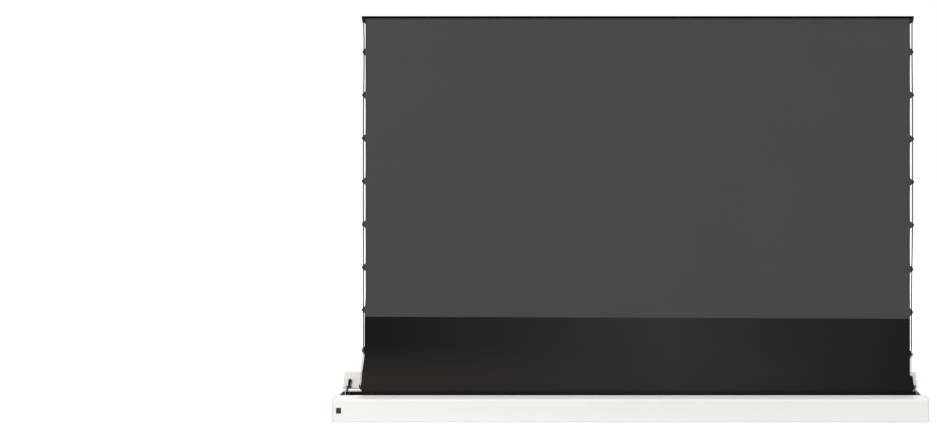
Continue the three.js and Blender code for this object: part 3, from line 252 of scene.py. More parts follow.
def painted_steel():
    """Drawn steel tube under white enamel: smoother and glossier than the powder coat, with faint runs along it."""
    material, tree, shader, place = start_material("painted_steel_tube", IOR=1.5)
    runs = noise(tree, moved(tree, place, (6, 900, 900)), 1)
    tint = mixed(tree, runs, "#F1EEEB", "#EAE7E3")
    join_finish(tree, shader, tint, mapped(tree, runs, 0, 1, 0.27, 0.36), runs, 0.00003, 0.3)
    return material


def mill_aluminium(name, lean=0):
    """Extruded aluminium as it leaves the mill: a soft metal sheen with fine die lines along the bar.

    The lines are about 0.2 mm apart; they are drawn at 0.8 mm. The lean turns them along a slanted arm.
    """
    material, tree, shader, place = start_material(name, Metallic=1.0)
    along = moved(tree, place, rotation=(0, math.radians(lean), 0))
    lines = noise(tree, moved(tree, along, (5, 1250, 1250)), 1, 3, 0.6)
    tint = mixed(tree, noise(tree, place, 14, 3), "#CFD0D1", "#BDBFC1")
    join_finish(tree, shader, tint, mapped(tree, lines, 0, 1, 0.3, 0.5), lines, 0.00004, 0.4)
    return material


def zinc_plated_steel():
    """Pressed steel with bright zinc plate: grey, faintly mottled blue and yellow, in crystal patches of 4 mm."""
    material, tree, shader, place = start_material("zinc_plated_steel", Metallic=1.0)
    cells = add_node(tree, "TexVoronoi", {"Vector": place, "Scale": 1 / 0.004, "Randomness": 1.0}).outputs["Distance"]
    cloud = noise(tree, place, 60, 4)
    tint = mixed(tree, cloud, mixed(tree, cells, "#BCC0C4", "#ABADAE"), "#C4C2B4")
    join_finish(tree, shader, tint, mapped(tree, cloud, 0, 1, 0.26, 0.46), cells, 0.00003, 0.3)
    return material


def dark_plated_steel():
    """Pressed lever steel with a dark brown phosphate plate: dull metal, lighter where it has been handled."""
    material, tree, shader, place = start_material("dark_plated_steel", Metallic=0.75)
    wear = noise(tree, place, 130, 6, 0.65)
    tint = mixed(tree, mapped(tree, wear, 0.52, 0.72), "#2B2623", "#4A4038")
    join_finish(tree, shader, tint, mapped(tree, wear, 0, 1, 0.34, 0.56), wear, 0.00005, 0.35)
    return material


def drawn_spring_wire():
    """Hard drawn spring wire: bright steel with faint draw marks and a thin film of oil."""
    material, tree, shader, place = start_material("drawn_spring_wire", Metallic=1.0)
    marks = noise(tree, place, 700, 3)
    join_finish(tree, shader, mixed(tree, marks, "#D6D5D2", "#B9B7B2"), mapped(tree, marks, 0, 1, 0.2, 0.36))
    return material


def black_anodised_aluminium():
    """Extruded aluminium, etched and anodised black: even satin with faint lines along the bar, drawn at 1 mm."""
    material, tree, shader, place = start_material("black_anodised_aluminium", Specular_IOR_Level=0.02)
    lines = noise(tree, moved(tree, place, (4, 1000, 1000)), 1)
    tint = mixed(tree, lines, "#020202", "#060607")
    join_finish(tree, shader, tint, mapped(tree, lines, 0, 1, 0.4, 0.55), lines, 0.00003, 0.3)
    return material


def moulded_black_polyamide():
    """Glass-filled black polyamide, injection moulded: matt, with a faint flow mottle and a 1 mm surface grit."""
    material, tree, shader, place = start_material("moulded_black_polyamide", IOR=1.53, Specular_IOR_Level=0.15)
    grit = noise(tree, place, 1 / 0.001, 3, 0.6)
    tint = mixed(tree, noise(tree, place, 70, 4, distortion=0.8), "#0C0C0C", "#191817")
    join_finish(tree, shader, tint, mapped(tree, grit, 0, 1, 0.45, 0.62), grit, 0.00008, 0.4)
    return material


def smoked_acrylic():
    """Polished smoked acrylic over the receiver: dark grey, glassy, with a hint of swirl in the polish."""
    material, tree, shader, place = start_material("smoked_acrylic", IOR=1.49, Specular_IOR_Level=0.3)
    swirl = noise(tree, place, 160, distortion=1.5)
    join_finish(tree, shader, mixed(tree, swirl, "#232426", "#2B2C2E"), mapped(tree, swirl, 0, 1, 0.07, 0.14))
    return material


def moulded_rubber():
    """Moulded black rubber: dead matt with dust in a 1.5 mm grain."""
    material, tree, shader, place = start_material("moulded_rubber", IOR=1.52)
    grain = noise(tree, place, 1 / 0.0015, 4)
    tint = mixed(tree, grain, "#181818", "#2A2928")
    join_finish(tree, shader, tint, mapped(tree, grain, 0, 1, 0.75, 0.92), grain, 0.0001, 0.5)
    return material


def knitted(tree):
    """A cloth's flat coordinates and its knit. The knit is 0.5 mm apart; it is drawn at 1.5 mm so that it shows."""
    layout = add_node(tree, "UVMap", uv_map="cut").outputs["UV"]
    spacing = 0.0015
    rows = [bands(tree, layout, spacing, axis, Distortion=0.6, Detail=1) for axis in ("X", "Y")]
    return layout, worked(tree, "MULTIPLY", *rows)


def coated_grey_cloth():
    """Viewing cloth: a grey vinyl coat on a fine knit, even and nearly matt, with its welded edge a shade darker.

    The weld is 5 mm wide, by the sheet's rim value.
    """
    weld_ends, plain_from, weld_strength = 0.0045, 0.006, 0.9
    material, tree, shader, _ = start_material("coated_grey_cloth", IOR=1.45, Specular_IOR_Level=0.1)
    layout, knit = knitted(tree)
    even = mixed(tree, noise(tree, layout, 3.5, 3), "#494949", "#474747")
    rim = add_node(tree, "Attribute", attribute_name="rim").outputs["Fac"]
    tint = mixed(tree, mapped(tree, rim, weld_ends, plain_from, weld_strength, 0.0), even, "#2A2A2B")
    join_finish(tree, shader, tint, mapped(tree, knit, 0, 1, 0.74, 0.86), knit, 0.00006, 0.25)
    return material


def coated_black_cloth():
    """Black drop cloth: vinyl coated knit, dull, with a painted sheen in random patches that turns the black to dark
    grey.

    The painted sheen is lightest over the middle of the width. Along the foot, more at the left, the cloth turns a
    warm dark grey, and the last 30 mm above the housing's lip are painted near black as shade.
    """
    middle, reach, patches = 0.2, 1.45, (0.8, 1.1)
    foot_rise, leftward, slot_shade = (0.36, 0.2, 0, 0.75), (0.9, -1.2), (0.14, 0.112, 0, 0.85)
    material, tree, shader, _ = start_material("coated_black_cloth", IOR=1.5, Specular_IOR_Level=0.08)
    layout, knit = knitted(tree)
    bloom = noise(tree, moved(tree, layout, (1.1, 2.6, 1)), 1.3, 3, 0.45)
    patchy = mapped(tree, bloom, 0.3, 0.7, *patches)
    spot = parted(tree, layout)
    aside = worked(tree, "ABSOLUTE", worked(tree, "SUBTRACT", spot["X"], middle))
    # Painted sheen: lighter over the middle of the width, broken into random patches.
    sheen_and_patches = worked(tree, "MULTIPLY", mapped(tree, aside, reach, 0.0), patchy)
    sheen_and_patch_tint = mixed(tree, sheen_and_patches, "#0D0D0E", "#2F2F2F")
    foot = worked(tree, "MULTIPLY", mapped(tree, spot["Y"], *foot_rise), mapped(tree, spot["X"], *leftward))
    brown = mixed(tree, foot, sheen_and_patch_tint, "#2E2926")
    # Painted shade: the last 30 mm above the housing's lip turn near black.
    tint = mixed(tree, mapped(tree, spot["Y"], *slot_shade), brown, "#070707")
    join_finish(tree, shader, tint, mapped(tree, patchy, *patches, 0.6, 0.72), knit, 0.00006, 0.25)
    return material


def braided_polyester():
    """Braided polyester cord: dark grey strands that cross at 45 degrees, about 1.6 mm apart, paler by the housing.

    Its lowest 0.2 m is pale.
    """
    pale_start, pale_below, strand_count = 0.345, 0.29, 8
    material, tree, shader, place = start_material("braided_polyester_cord", IOR=1.5, Specular_IOR_Level=0.2)
    layout = add_node(tree, "UVMap", uv_map="cut").outputs["UV"]
    strands = [
        bands(tree, moved(tree, layout, (strand_count, strand_count, 1), (0, 0, math.radians(turn))), 1, "X")
        for turn in (45, -45)
    ]
    braid = worked(tree, "MULTIPLY", *strands)
    dyed, pale = mixed(tree, braid, "#1F1F20", "#323233"), mixed(tree, braid, "#CFCDC9", "#E8E6E2")
    # The cord turns pale below about 0.35 m.
    tint = mixed(tree, mapped(tree, parted(tree, place)["Z"], pale_start, pale_below), dyed, pale)
    join_finish(tree, shader, tint, mapped(tree, braid, 0, 1, 0.9, 0.68), braid, 0.0002, 0.6)
    return material


ARM_LEAN = 37.24
FINISH = {
    "white_aluminium": powder_coated_aluminium(),
    "white_plastic": moulded_white_abs(),
    "white_tube": painted_steel(),
    "bare_aluminium": mill_aluminium("mill_aluminium"),
    "rising_arm": mill_aluminium("mill_aluminium_rising_arm", ARM_LEAN),
    "falling_arm": mill_aluminium("mill_aluminium_falling_arm", -ARM_LEAN),
    "zinc_steel": zinc_plated_steel(),
    "dark_steel": dark_plated_steel(),
    "spring_steel": drawn_spring_wire(),
    "black_aluminium": black_anodised_aluminium(),
    "black_plastic": moulded_black_polyamide(),
    "smoked_plastic": smoked_acrylic(),
    "rubber": moulded_rubber(),
    "grey_fabric": coated_grey_cloth(),
    "black_fabric": coated_black_cloth(),
    "grey_cord": braided_polyester(),
}


# Meshes
def make_piece(name, points, faces, finish, body, replaced=(), layout=None, sharp=40, **values):
    """A piece from points in millimetres.

    The layout is a UV point for each face corner, and values are numbers for each point.
    """
    mesh = bpy.data.meshes.new(name)
    mesh.from_pydata(np.asarray(points) * MM, [], [tuple(f) for f in faces])
    if layout is not None:
        mesh.uv_layers.new(name="cut").data.foreach_set("uv", np.asarray(layout, np.float32).ravel())
    for key, value in values.items():
        numbers = np.asarray(value, np.float32).ravel()
        mesh.attributes.new(key, "FLOAT", "POINT").data.foreach_set("value", numbers)
    return place_piece(name, mesh, finish, body, replaced, sharp)


def place_piece(name, mesh, finish, body, replaced=(), sharp=40):
    """Shades a mesh smooth up to the sharp angle, gives it its finish and lets it ride on its body, if it has one."""
    mesh.polygons.foreach_set("use_smooth", np.ones(len(mesh.polygons), bool))
    mesh.set_sharp_from_angle(angle=math.radians(sharp))
    mesh.materials.append(FINISH[finish])
    piece = bpy.data.objects.new(name, mesh)
    scene.collection.objects.link(piece)
    if body:
        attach(piece, body)
    if replaced:
        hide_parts(*replaced)
    return piece


def thicken(sheet, thickness, offset):
    """Gives a sheet its thickness, in millimetres."""
    wall = sheet.modifiers.new("cloth", "SOLIDIFY")
    wall.thickness = thickness * MM
    wall.offset = offset


def ring_angles(sides):
    """Angles evenly round a full turn."""
    return np.linspace(0, 2 * math.pi, sides, endpoint=False)


def grid_faces(rows, columns, closed=False):
    """The quads of a grid of points stored row by row; closed joins the last column to the first."""
    across = columns if closed else columns - 1
    r, c = np.meshgrid(np.arange(rows - 1), np.arange(across), indexing="ij")
    d = (c + 1) % columns
    start, after = r * columns, (r + 1) * columns
    return np.stack([start + c, start + d, after + d, after + c], -1).reshape(-1, 4)


def eased(profile, radius, steps=3):
    """A profile whose inner corners are rounded: each is a short curve between points that far along its sides."""
    p = np.asarray(profile, float)
    out = [p[:1]]
    for before, corner, after in zip(p[:-2], p[1:-1], p[2:]):
        first, second = before - corner, after - corner
        cut = [min(radius, np.hypot(*side) / 2.2) / max(np.hypot(*side), 1e-9) for side in (first, second)]
        a, b = corner + first * cut[0], corner + second * cut[1]
        t = np.linspace(0, 1, steps + 1)[:, None]
        out.append((1 - t) ** 2 * a + 2 * t * (1 - t) * corner + t ** 2 * b)
    return np.concatenate(out + [p[-1:]])


def turned(profile, axis, centre, sides=48):
    """A profile of (radius, place) turned about a line along X or Y, through a centre in the other two directions."""
    p = np.asarray(profile, float)
    angle = ring_angles(sides)
    radius, place = p[:, :1], np.repeat(p[:, 1:], sides, 1)
    a, b = radius * np.cos(angle), radius * np.sin(angle)
    if axis == "x":
        points = np.stack([place, centre[0] + a, centre[1] + b], -1)
    else:
        points = np.stack([centre[0] + b, place, centre[1] + a], -1)
    return points.reshape(-1, 3), grid_faces(len(p), sides, True)


def closed_mesh(name, parts):
    """A mesh from several (points, faces), with doubles merged, flat faces dropped and normals pointing out."""
    points, faces, start = [], [], 0
    for part_points, part_faces in parts:
        points.append(np.asarray(part_points, float))
        faces += [tuple(i + start for i in f) for f in part_faces]
        start += len(part_points)
    mesh = bpy.data.meshes.new(name)
    mesh.from_pydata(np.concatenate(points) * MM, [], faces)
    work = bmesh.new()
    work.from_mesh(mesh)
    bmesh.ops.remove_doubles(work, verts=work.verts, dist=1e-6)
    bmesh.ops.dissolve_degenerate(work, edges=work.edges, dist=1e-7)
    bmesh.ops.recalc_face_normals(work, faces=work.faces)
    work.to_mesh(mesh)
    work.free()
    return mesh


def softened(node, width, finish):
    """The solid with its flat triangles joined and its edges eased by a small bevel, in millimetres."""
    edge_angle = 35
    source = frame["nodes"][node]
    points = np.empty(len(source.data.vertices) * 3, np.float32)
    source.data.vertices.foreach_get("co", points)
    corners = np.empty(len(source.data.loops), np.int32)
    source.data.loops.foreach_get("vertex_index", corners)
    mesh = bpy.data.meshes.new(node + "_dressed")
    mesh.from_pydata(points.reshape(-1, 3), [], corners.reshape(-1, 3))
    work = bmesh.new()
    work.from_mesh(mesh)
    bmesh.ops.remove_doubles(work, verts=work.verts, dist=2e-6)
    bmesh.ops.dissolve_limit(work, angle_limit=math.radians(0.6), verts=work.verts, edges=work.edges)
    work.to_mesh(mesh)
    work.free()
    piece = place_piece(node + "_dressed", mesh, finish, source["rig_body"], [node], edge_angle)
    ease = piece.modifiers.new("eased edges", "BEVEL")
    ease.width = width * MM
    ease.segments = 2
    ease.limit_method = "ANGLE"
    ease.angle_limit = math.radians(edge_angle)
    ease.harden_normals = True


def carried(path, radius, sides):
    """A round tube along a path: each ring stands square to the path and is turned as little as possible.

    Returns its points, faces and UV corners: round the tube, and along it in tube widths.
    """
    path = np.asarray(path, float)
    along = np.gradient(path, axis=0)
    along /= np.linalg.norm(along, axis=1)[:, None]
    across = np.empty_like(path)
    last = np.array([1.0, 0.02, 0.03])
    for i, t in enumerate(along):
        last = last - t * np.dot(last, t)
        last = last / np.linalg.norm(last)
        across[i] = last
    beside = np.cross(along, across)
    angle = ring_angles(sides)
    ring = np.cos(angle)[None, :, None] * across[:, None] + np.sin(angle)[None, :, None] * beside[:, None]
    points = (path[:, None] + radius * ring).reshape(-1, 3)
    faces = grid_faces(len(path), sides, True)
    run = np.concatenate([[0], np.cumsum(np.linalg.norm(np.diff(path, axis=0), axis=1))]) / (2 * math.pi * radius)
    r, c = np.meshgrid(np.arange(len(path) - 1), np.arange(sides), indexing="ij")
    r, c = r.ravel(), c.ravel()
    layout = np.stack([
        np.stack([c / sides, run[r]], -1), np.stack([(c + 1) / sides, run[r]], -1),
        np.stack([(c + 1) / sides, run[r + 1]], -1), np.stack([c / sides, run[r + 1]], -1),
    ], 1)
    caps = [tuple(range(sides))[::-1], tuple(range(len(points) - sides, len(points)))]
    cap_layout = [np.stack([np.cos(angle), np.sin(angle)], -1) * 0.1] * 2
    return points, [tuple(f) for f in faces] + caps, np.concatenate([layout.reshape(-1, 2)] + cap_layout)


def smooth(value, low, high):
    """The smooth step of a value from low to high: three squares less two cubes of its share."""
    share = np.clip((value - low) / (high - low), 0, 1)
    return share * share * (3 - 2 * share)


# Fabric
def tab_bump(z, heights):
    """How far the tabs at those heights stand out at z: each is half an ellipse with a small fillet."""
    off = np.abs(z[:, None] - np.asarray(heights)[None]) / (TAB_TALL / 2)
    fillet = 0.1 * np.exp(-((off - 1) / 0.13) ** 2)
    return (TAB_REACH * (np.sqrt(np.clip(1 - off ** 2, 0, 1)) + fillet)).max(1)


def left_half(z):
    """Half the cloth's width at a height, at the left: 5 mm more at the drop, then it widens in a smooth curve."""
    return FABRIC_HALF + 5 * smooth(600 - z, 0, 130) + 15 * smooth(330 - z, 0, 150)


def right_half(z):
    """Half the cloth's width at a height, at the right: it steps out over 7 mm, with a rounded shoulder."""
    return FABRIC_HALF + WIDE_MARGIN * smooth(STEP_HEIGHT + 4 - z, 0, 7)


def sheet_rows(low, high):
    """The heights of a sheet's rows: close together at the tabs, the curve, the step and both ends."""
    reach, step, end_step, least = 20, 30, 0.4, 0.2
    tabs = np.unique(TAB_PLACES[-1] + TAB_PLACES[1])
    near = (tabs[:, None] + reach * np.sin(np.linspace(-1.45, 1.45, 41))[None]).ravel()
    ends = [low, low + end_step, high - end_step, high]
    rows = [near[(near > low) & (near < high)], np.arange(low, high, step), ends]
    if low < STEP_HEIGHT:
        rows += [STEP_HEIGHT + np.linspace(-5, 6, 23), np.linspace(180, 330, 21)]
    z = np.unique(np.round(np.concatenate(rows), 2))
    return z[np.concatenate([[True], np.diff(z) > least])]


def cloth_sheet(name, low, high, finish, node):
    """A stretched sheet: a point is its height times its share of the width, which the edges' curves and tabs set.

    The edge of a sheet above the step pulls in halfway between two tabs. The rim value, by which the weld at the edge
    is drawn, is the distance from the edge; at a tab, which has no weld, much is added to it. The weld between the
    two cloths is 1 mm higher in the middle than the solids' and falls to the right. A sheet that stands for a node
    rides on the housing in the node's place; the hem, without a node, rides on the bar.
    """
    pull, no_weld, weld_reach, edge_band = 0.8, 8, 17, 30
    z = sheet_rows(low, high)
    scallop = pull * np.sin(math.pi * ((TAB_HEIGHTS[0] - z) / TAB_PITCH % 1)) ** 2 if low > STEP_HEIGHT else 0 * z
    left_bump, right_bump = tab_bump(z, TAB_PLACES[-1]), tab_bump(z, TAB_PLACES[1])
    left = left_half(z) + left_bump - scallop
    right = right_half(z) + right_bump - scallop
    start = FABRIC_HALF - edge_band
    inner = np.linspace(-start, start, 61)
    shares = np.array([0.2, 0.4, 0.55, 0.68, 0.78, 0.86, 0.92, 0.96, 1.0])
    lefts = -(start + (left - start)[:, None] * shares[::-1][None])
    rights = start + (right - start)[:, None] * shares[None]
    across = np.concatenate([lefts, np.repeat(inner[None], len(z), 0), rights], 1)
    from_left, from_right = left + no_weld * left_bump, right + no_weld * right_bump
    rim = np.minimum(across + from_left[:, None], from_right[:, None] - across)
    x = FABRIC_CENTRE + across
    by_weld = 1 - smooth(np.abs(z - DROP_TOP), 0, weld_reach)
    tall = z[:, None] + by_weld[:, None] * (1 - WELD_SLOPE * (x - FABRIC_CENTRE))
    points = np.stack([x, np.full_like(x, FABRIC_PLANE), tall], -1).reshape(-1, 3)
    faces = grid_faces(*x.shape)
    layout = (points[:, [0, 2]][faces] * MM).reshape(-1, 2)
    body, nodes, rests = ("housing", [node], ["top_bar", "fabric_wraps"]) if node else ("top", (), ["top_bar"])
    sheet = make_piece(name, points, faces, finish, body, nodes, layout, rim=rim.ravel() * MM)
    thicken(sheet, 0.6, 0)
    if node:
        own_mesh(sheet)


cloth_sheet("viewing_hem", HEM_LOW, HEM_TOP, "grey_fabric", None)
cloth_sheet("viewing_cloth", DROP_TOP, HEM_LOW, "grey_fabric", "view_fabric")
cloth_sheet("black_drop", DROP_FOOT, DROP_TOP, "black_fabric", "drop_fabric")


# Tension cords, tied to a clip at each tab
def cord_offset(side, z):
    """How far the cord runs from the cloth's upper edge: a slack bow up to the lowest rows, then out with the cloth.

    The bow is a sum of smooth steps. At the left the cord stays about 5 mm beside the cloth's curve below it; at the
    right it nears the cloth and turns round the step in a small hook.
    """
    if side < 0:
        return 8.8 - 1.7 * smooth(1930 - z, 0, 90) + 3.2 * smooth(1740 - z, 0, 240) + 14.5 * smooth(330 - z, 0, 150)
    bow = 9.8 + 2.8 * smooth(1800 - z, 0, 320) - 5.2 * smooth(1010 - z, 0, 450) - 3 * smooth(330 - z, 0, 60)
    step = (FOOT_OFFSET - 4.4) * smooth(STEP_HEIGHT + 9 - z, 0, 9)
    return bow + step + 2.5 * np.exp(-((z - STEP_HEIGHT + 1) / 4.5) ** 2)


def cord_route(side):
    """The cord's centre line from its top knot to the last clip, with its points close together at the hook."""
    z = np.unique(np.concatenate([np.linspace(CORD_FOOT, CORD_TOP + 1, 420), np.linspace(185, 225, 60)]))[::-1]
    x = FABRIC_CENTRE + side * (FABRIC_HALF + cord_offset(side, z))
    return np.stack([x, np.full_like(z, FABRIC_PLANE), z], -1)


def clip_body(x, z, side):
    """A half-round clip: its outline is a half ellipse outwards and a flatter one inwards, scaled over its depth.

    A groove for the cord runs down its middle.
    """
    rows, sides = 15, 40
    outwards, inwards, half_tall, half_deep, groove_deep = 6.8, 3, 7.8, 2.9, 0.7
    angle, rise = ring_angles(sides), np.linspace(-math.pi / 2, math.pi / 2, rows)
    cos, sin = np.cos(angle), np.sin(angle)
    out = np.where(cos > 0, outwards * np.abs(cos) ** 0.8, -inwards * np.abs(cos) ** 0.35)
    tall = half_tall * np.sign(sin) * np.abs(sin) ** 0.75
    size = np.cos(rise)[:, None] ** 0.45
    depth = (half_deep * np.sign(np.sin(rise)) * np.abs(np.sin(rise)) ** 0.6)[:, None]
    u = out[None] * size
    groove = groove_deep * np.exp(-((u - 0.6) / 0.9) ** 2)
    y = depth - np.sign(depth) * groove * (np.abs(depth) > 1.5)
    points = np.stack([x + side * u, FABRIC_PLANE + y, z + tall[None] * size], -1)
    return points.reshape(-1, 3), grid_faces(rows, sides, True)


for side_name, side in OUTWARD.items():
    points, faces, layout = carried(cord_route(side), CORD_RADIUS, 12)
    node = "cord_" + side_name
    cord = make_piece("tension_cord_" + side_name, points, faces, "grey_cord", "housing", [node], layout)
    edge = FABRIC_CENTRE + side * FABRIC_HALF
    clips = [clip_body(edge + side * (cord_offset(side, z) + CLIP_OUT), z, side) for z in TAB_PLACES[side]]
    clip_name = "cord_clips_" + side_name
    clip = place_piece(clip_name, closed_mesh(clip_name, clips), "black_plastic", "housing")
    for soft in (cord, clip):
        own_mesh(soft)


# Housing, lid and frames: the solids with eased edges
DRESSED = {
    ("white_aluminium", 0.35): "front_profile",
    ("white_aluminium", 0.3): "floor_profile rear_profile lid_panel",
    ("bare_aluminium", 0.3): "join_strip_front join_strip_rear top_track lower_track",
    ("white_plastic", 0.3): "end_cap_left end_cap_right lid_cap_left lid_cap_right",
    ("black_plastic", 0.3): "power_inlet",
    ("black_plastic", 0.5): "cord_anchor_left cord_anchor_right",
    ("black_plastic", 0.8): "control_box",
    ("black_aluminium", 0.25): "top_bar",
    ("zinc_steel", 0.3): "top_bracket base_bracket roller_bracket_left roller_bracket_right "
                         "lever_bracket_left lever_bracket_right",
    ("dark_steel", 0.35): "lever_left lever_right",
    ("rising_arm", 0.5): "arm_lower_a arm_upper_d",
    ("falling_arm", 0.5): "arm_upper_c arm_lower_b",
    ("rubber", 0.6): "foot_centre foot_front_left foot_front_right foot_rear_left foot_rear_right",
}
for (finish, width), nodes in DRESSED.items():
    for node in nodes.split():
        softened(node, width, finish)


# Turned pieces, smoother than their solids
def turned_piece(name, node, profile, axis, centre, finish, ease=0.4, sides=48):
    """A turned piece that stands for a solid, with its corners eased."""
    mesh = closed_mesh(name, [turned(eased(profile, ease), axis, centre, sides)])
    place_piece(name, mesh, finish, frame["nodes"][node]["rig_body"], [node], 35)


def span_of(node, axis):
    """The lowest and highest place of a solid along an axis, in millimetres."""
    low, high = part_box(node)
    return low[axis] / MM, high[axis] / MM


def middle_of(node):
    """The middle of a solid in X and Z, in millimetres."""
    return tuple(sum(span_of(node, axis)) / 2 for axis in (0, 2))


low, high = span_of("lift_tube", 0)
turned_piece("lift_tube_painted", "lift_tube", [
    (0, low + 1.2), (4.5, low + 1.2), (5, low + 0.4), (7.0, low), (8.4, low),
    (8.4, high), (7.0, high), (5, high - 0.4), (4.5, high - 1.2), (0, high - 1.2),
], "x", TUBE_CENTRE, "white_tube")

for side_name, side in OUTWARD.items():
    x = LEVER_X[side_name]
    head, inner = x + side * 1.8, x - side * 7.4
    turned_piece("lever_bolt_domed_" + side_name, "lever_bolt_" + side_name, [
        (0, head + side * 4.5), (2.6, head + side * 4.3), (4.6, head + side * 3.5), (6.2, head + side * 2),
        (7, head + side * 0.5), (7, head), (4, head), (4, inner), (7, inner), (7, inner - side * 2.5),
        (0, inner - side * 2.5),
    ], "x", LEVER_TIP, "dark_steel", 0.3)
    near, far = x - side * 1.8, x - side * 6.8
    turned_piece("lever_roller_turned_" + side_name, "lever_roller_" + side_name, [
        (4.3, near), (8.6, near), (9.6, near - side * 1.1), (9.6, far + side * 1.1), (8.6, far), (4.3, far),
        (4.3, near),
    ], "x", LEVER_TIP, "black_plastic", 0.3)

for node in ("pin_cross_lower", "pin_cross_upper", "pin_middle_right", "pin_middle_left"):
    low, high = span_of(node, 1)
    turned_piece(node + "_turned", node, [
        (0, low + 0.5), (3.2, low + 0.4), (4, low), (7.6, low), (9, low + 0.9), (9, low + 2.5), (6, low + 2.5),
        (6, high - 2.5), (9, high - 2.5), (9, high - 0.9), (7.6, high), (4, high), (3.2, high - 0.4), (0, high - 0.5),
    ], "y", middle_of(node), "zinc_steel", 0.3)

for node in ("track_roller_lower", "track_roller_upper"):
    low, high = span_of(node, 1)
    left, right = span_of(node, 0)
    half = (right - left) / 2
    turned_piece(node + "_turned", node, [
        (3.3, low), (half - 0.8, low), (half, low + 0.8), (half, high - 0.8), (half - 0.8, high), (3.3, high),
        (3.3, low),
    ], "y", middle_of(node), "black_plastic", 0.3)

low, high = span_of("roller_tube", 0)
turned_piece("roller_tube_turned", "roller_tube", [(23.5, low), (25, low), (25, high), (23.5, high), (23.5, low)],
             "x", (ROLLER_Y, ROLLER_Z), "bare_aluminium", 0.2, 64)


def wound_cloth():
    """The turns that stay on the roller: a spiral of two turns of black cloth, carried along X.

    The radius grows by 0.65 mm a turn, from the tube out to the tangent where the drop leaves it.
    """
    turns, columns, outer_radius, growth = 2.0, 24, 26.75, 0.65
    turn = np.linspace(-turns * 2 * math.pi, 0, 193)
    radius = outer_radius + growth * turn / (2 * math.pi)
    places = np.linspace(*span_of("fabric_wraps", 0), columns)
    y = ROLLER_Y + radius * np.cos(turn)
    z = ROLLER_Z + radius * np.sin(turn)
    x, y_all, z_all = np.broadcast_arrays(places[None], y[:, None], z[:, None])
    run = np.concatenate([[0], np.cumsum(np.hypot(np.diff(y), np.diff(z)))])
    faces = grid_faces(len(turn), columns)
    flat = np.stack([x, np.repeat(run[:, None], columns, 1)], -1).reshape(-1, 2)
    points, layout = np.stack([x, y_all, z_all], -1).reshape(-1, 3), flat[faces].reshape(-1, 2) * MM
    sheet = make_piece("wound_cloth", points, faces, "black_fabric", "roller", ["fabric_wraps"], layout)
    thicken(sheet, 0.45, -1)


wound_cloth()


# Springs
def spring_path(x, side):
    """The wire's centre line: an open eye round the lever's stud, 40 closed turns and an eye round the post.

    A straight lead joins each eye to the turns.
    """
    radius, lead, turns, steps, eye_points = 2.9, 7.9, 40, 14, 21
    top, foot = np.array([x, *SPRING_TOP]), np.array([x, *SPRING_FOOT])
    down = (foot - top) / np.linalg.norm(foot - top)
    out = np.array([side, 0.0, 0.0])
    across = np.cross(down, out)

    def wire(start, ahead, aside, outwards=0):
        """Points that lie so far ahead of a start, to the spring's foot, aside of it and outwards."""
        return start + np.stack(np.broadcast_arrays(ahead, aside, outwards), -1) @ np.stack([down, across, out])

    eye = np.radians(np.linspace(-160, 90, eye_points))
    first = wire(top, -radius * np.cos(eye), radius * np.sin(eye))
    angle = np.linspace(0, turns * 2 * math.pi, turns * steps + 1)
    run = np.linalg.norm(foot - top) - 2 * lead
    coil = wire(top, lead + run * angle / angle[-1], radius * np.cos(angle), radius * np.sin(angle))
    eye = np.radians(np.linspace(0, 250, eye_points))
    last = wire(foot, radius * np.sin(eye), radius * np.cos(eye))
    part_way = np.linspace(0.25, 0.75, 3)[:, None]
    lead_in = first[-1] + (coil[0] - first[-1]) * part_way
    lead_out = coil[-1] + (last[0] - coil[-1]) * part_way
    return np.concatenate([first, lead_in, coil, lead_out, last])


for side_name, side in OUTWARD.items():
    x = LEVER_X[side_name] + side * STUD_OUT
    points, faces, _ = carried(spring_path(x, side), WIRE_RADIUS, 8)
    node = "spring_" + side_name
    spring = make_piece("spring_wound_" + side_name, points, faces, "spring_steel", None, [node], sharp=60)
    start, end = ((x * MM, y * MM, z * MM) for y, z in (SPRING_FOOT, SPRING_TOP))
    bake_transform(spring)


# Screws
def screw_head(radius, rise, slot_depth=0.9):
    """A cross-head screw as a height over its disc: a low dome less a cross whose depth falls off towards the rim.

    Points are (u, v, height) about the origin, with a short skirt under the rim.
    """
    sides, skirt, cross = 40, 0.8, 0.16 * radius
    share = np.concatenate([np.linspace(0, 1, 13), [1.0]])
    r, a = np.meshgrid(share * radius, ring_angles(sides), indexing="ij")
    u, v = r * np.cos(a), r * np.sin(a)
    dome = rise * (1 - (r / radius) ** 2.4)
    arm = np.maximum(np.exp(-(u / cross) ** 4), np.exp(-(v / cross) ** 4))
    height = dome - slot_depth * arm * (1 - smooth(r, 0.35 * radius, 0.62 * radius))
    height[-1] = -skirt
    return np.stack([u, v, height], -1).reshape(-1, 3), grid_faces(len(share), sides, True)


def screws(name, body, axis, places, radius, rise):
    """Several screw heads in one piece; they face along the axis, which is +x, -x or +z."""
    parts = []
    for centre in places:
        points, faces = screw_head(radius, rise)
        u, v, h = points.T
        faced = {"+x": (h, u, v), "-x": (-h, v, u), "+z": (u, v, h)}[axis]
        parts.append((np.stack(faced, -1) + centre, faces))
    place_piece(name, closed_mesh(name, parts), "zinc_steel", body, (), 50)


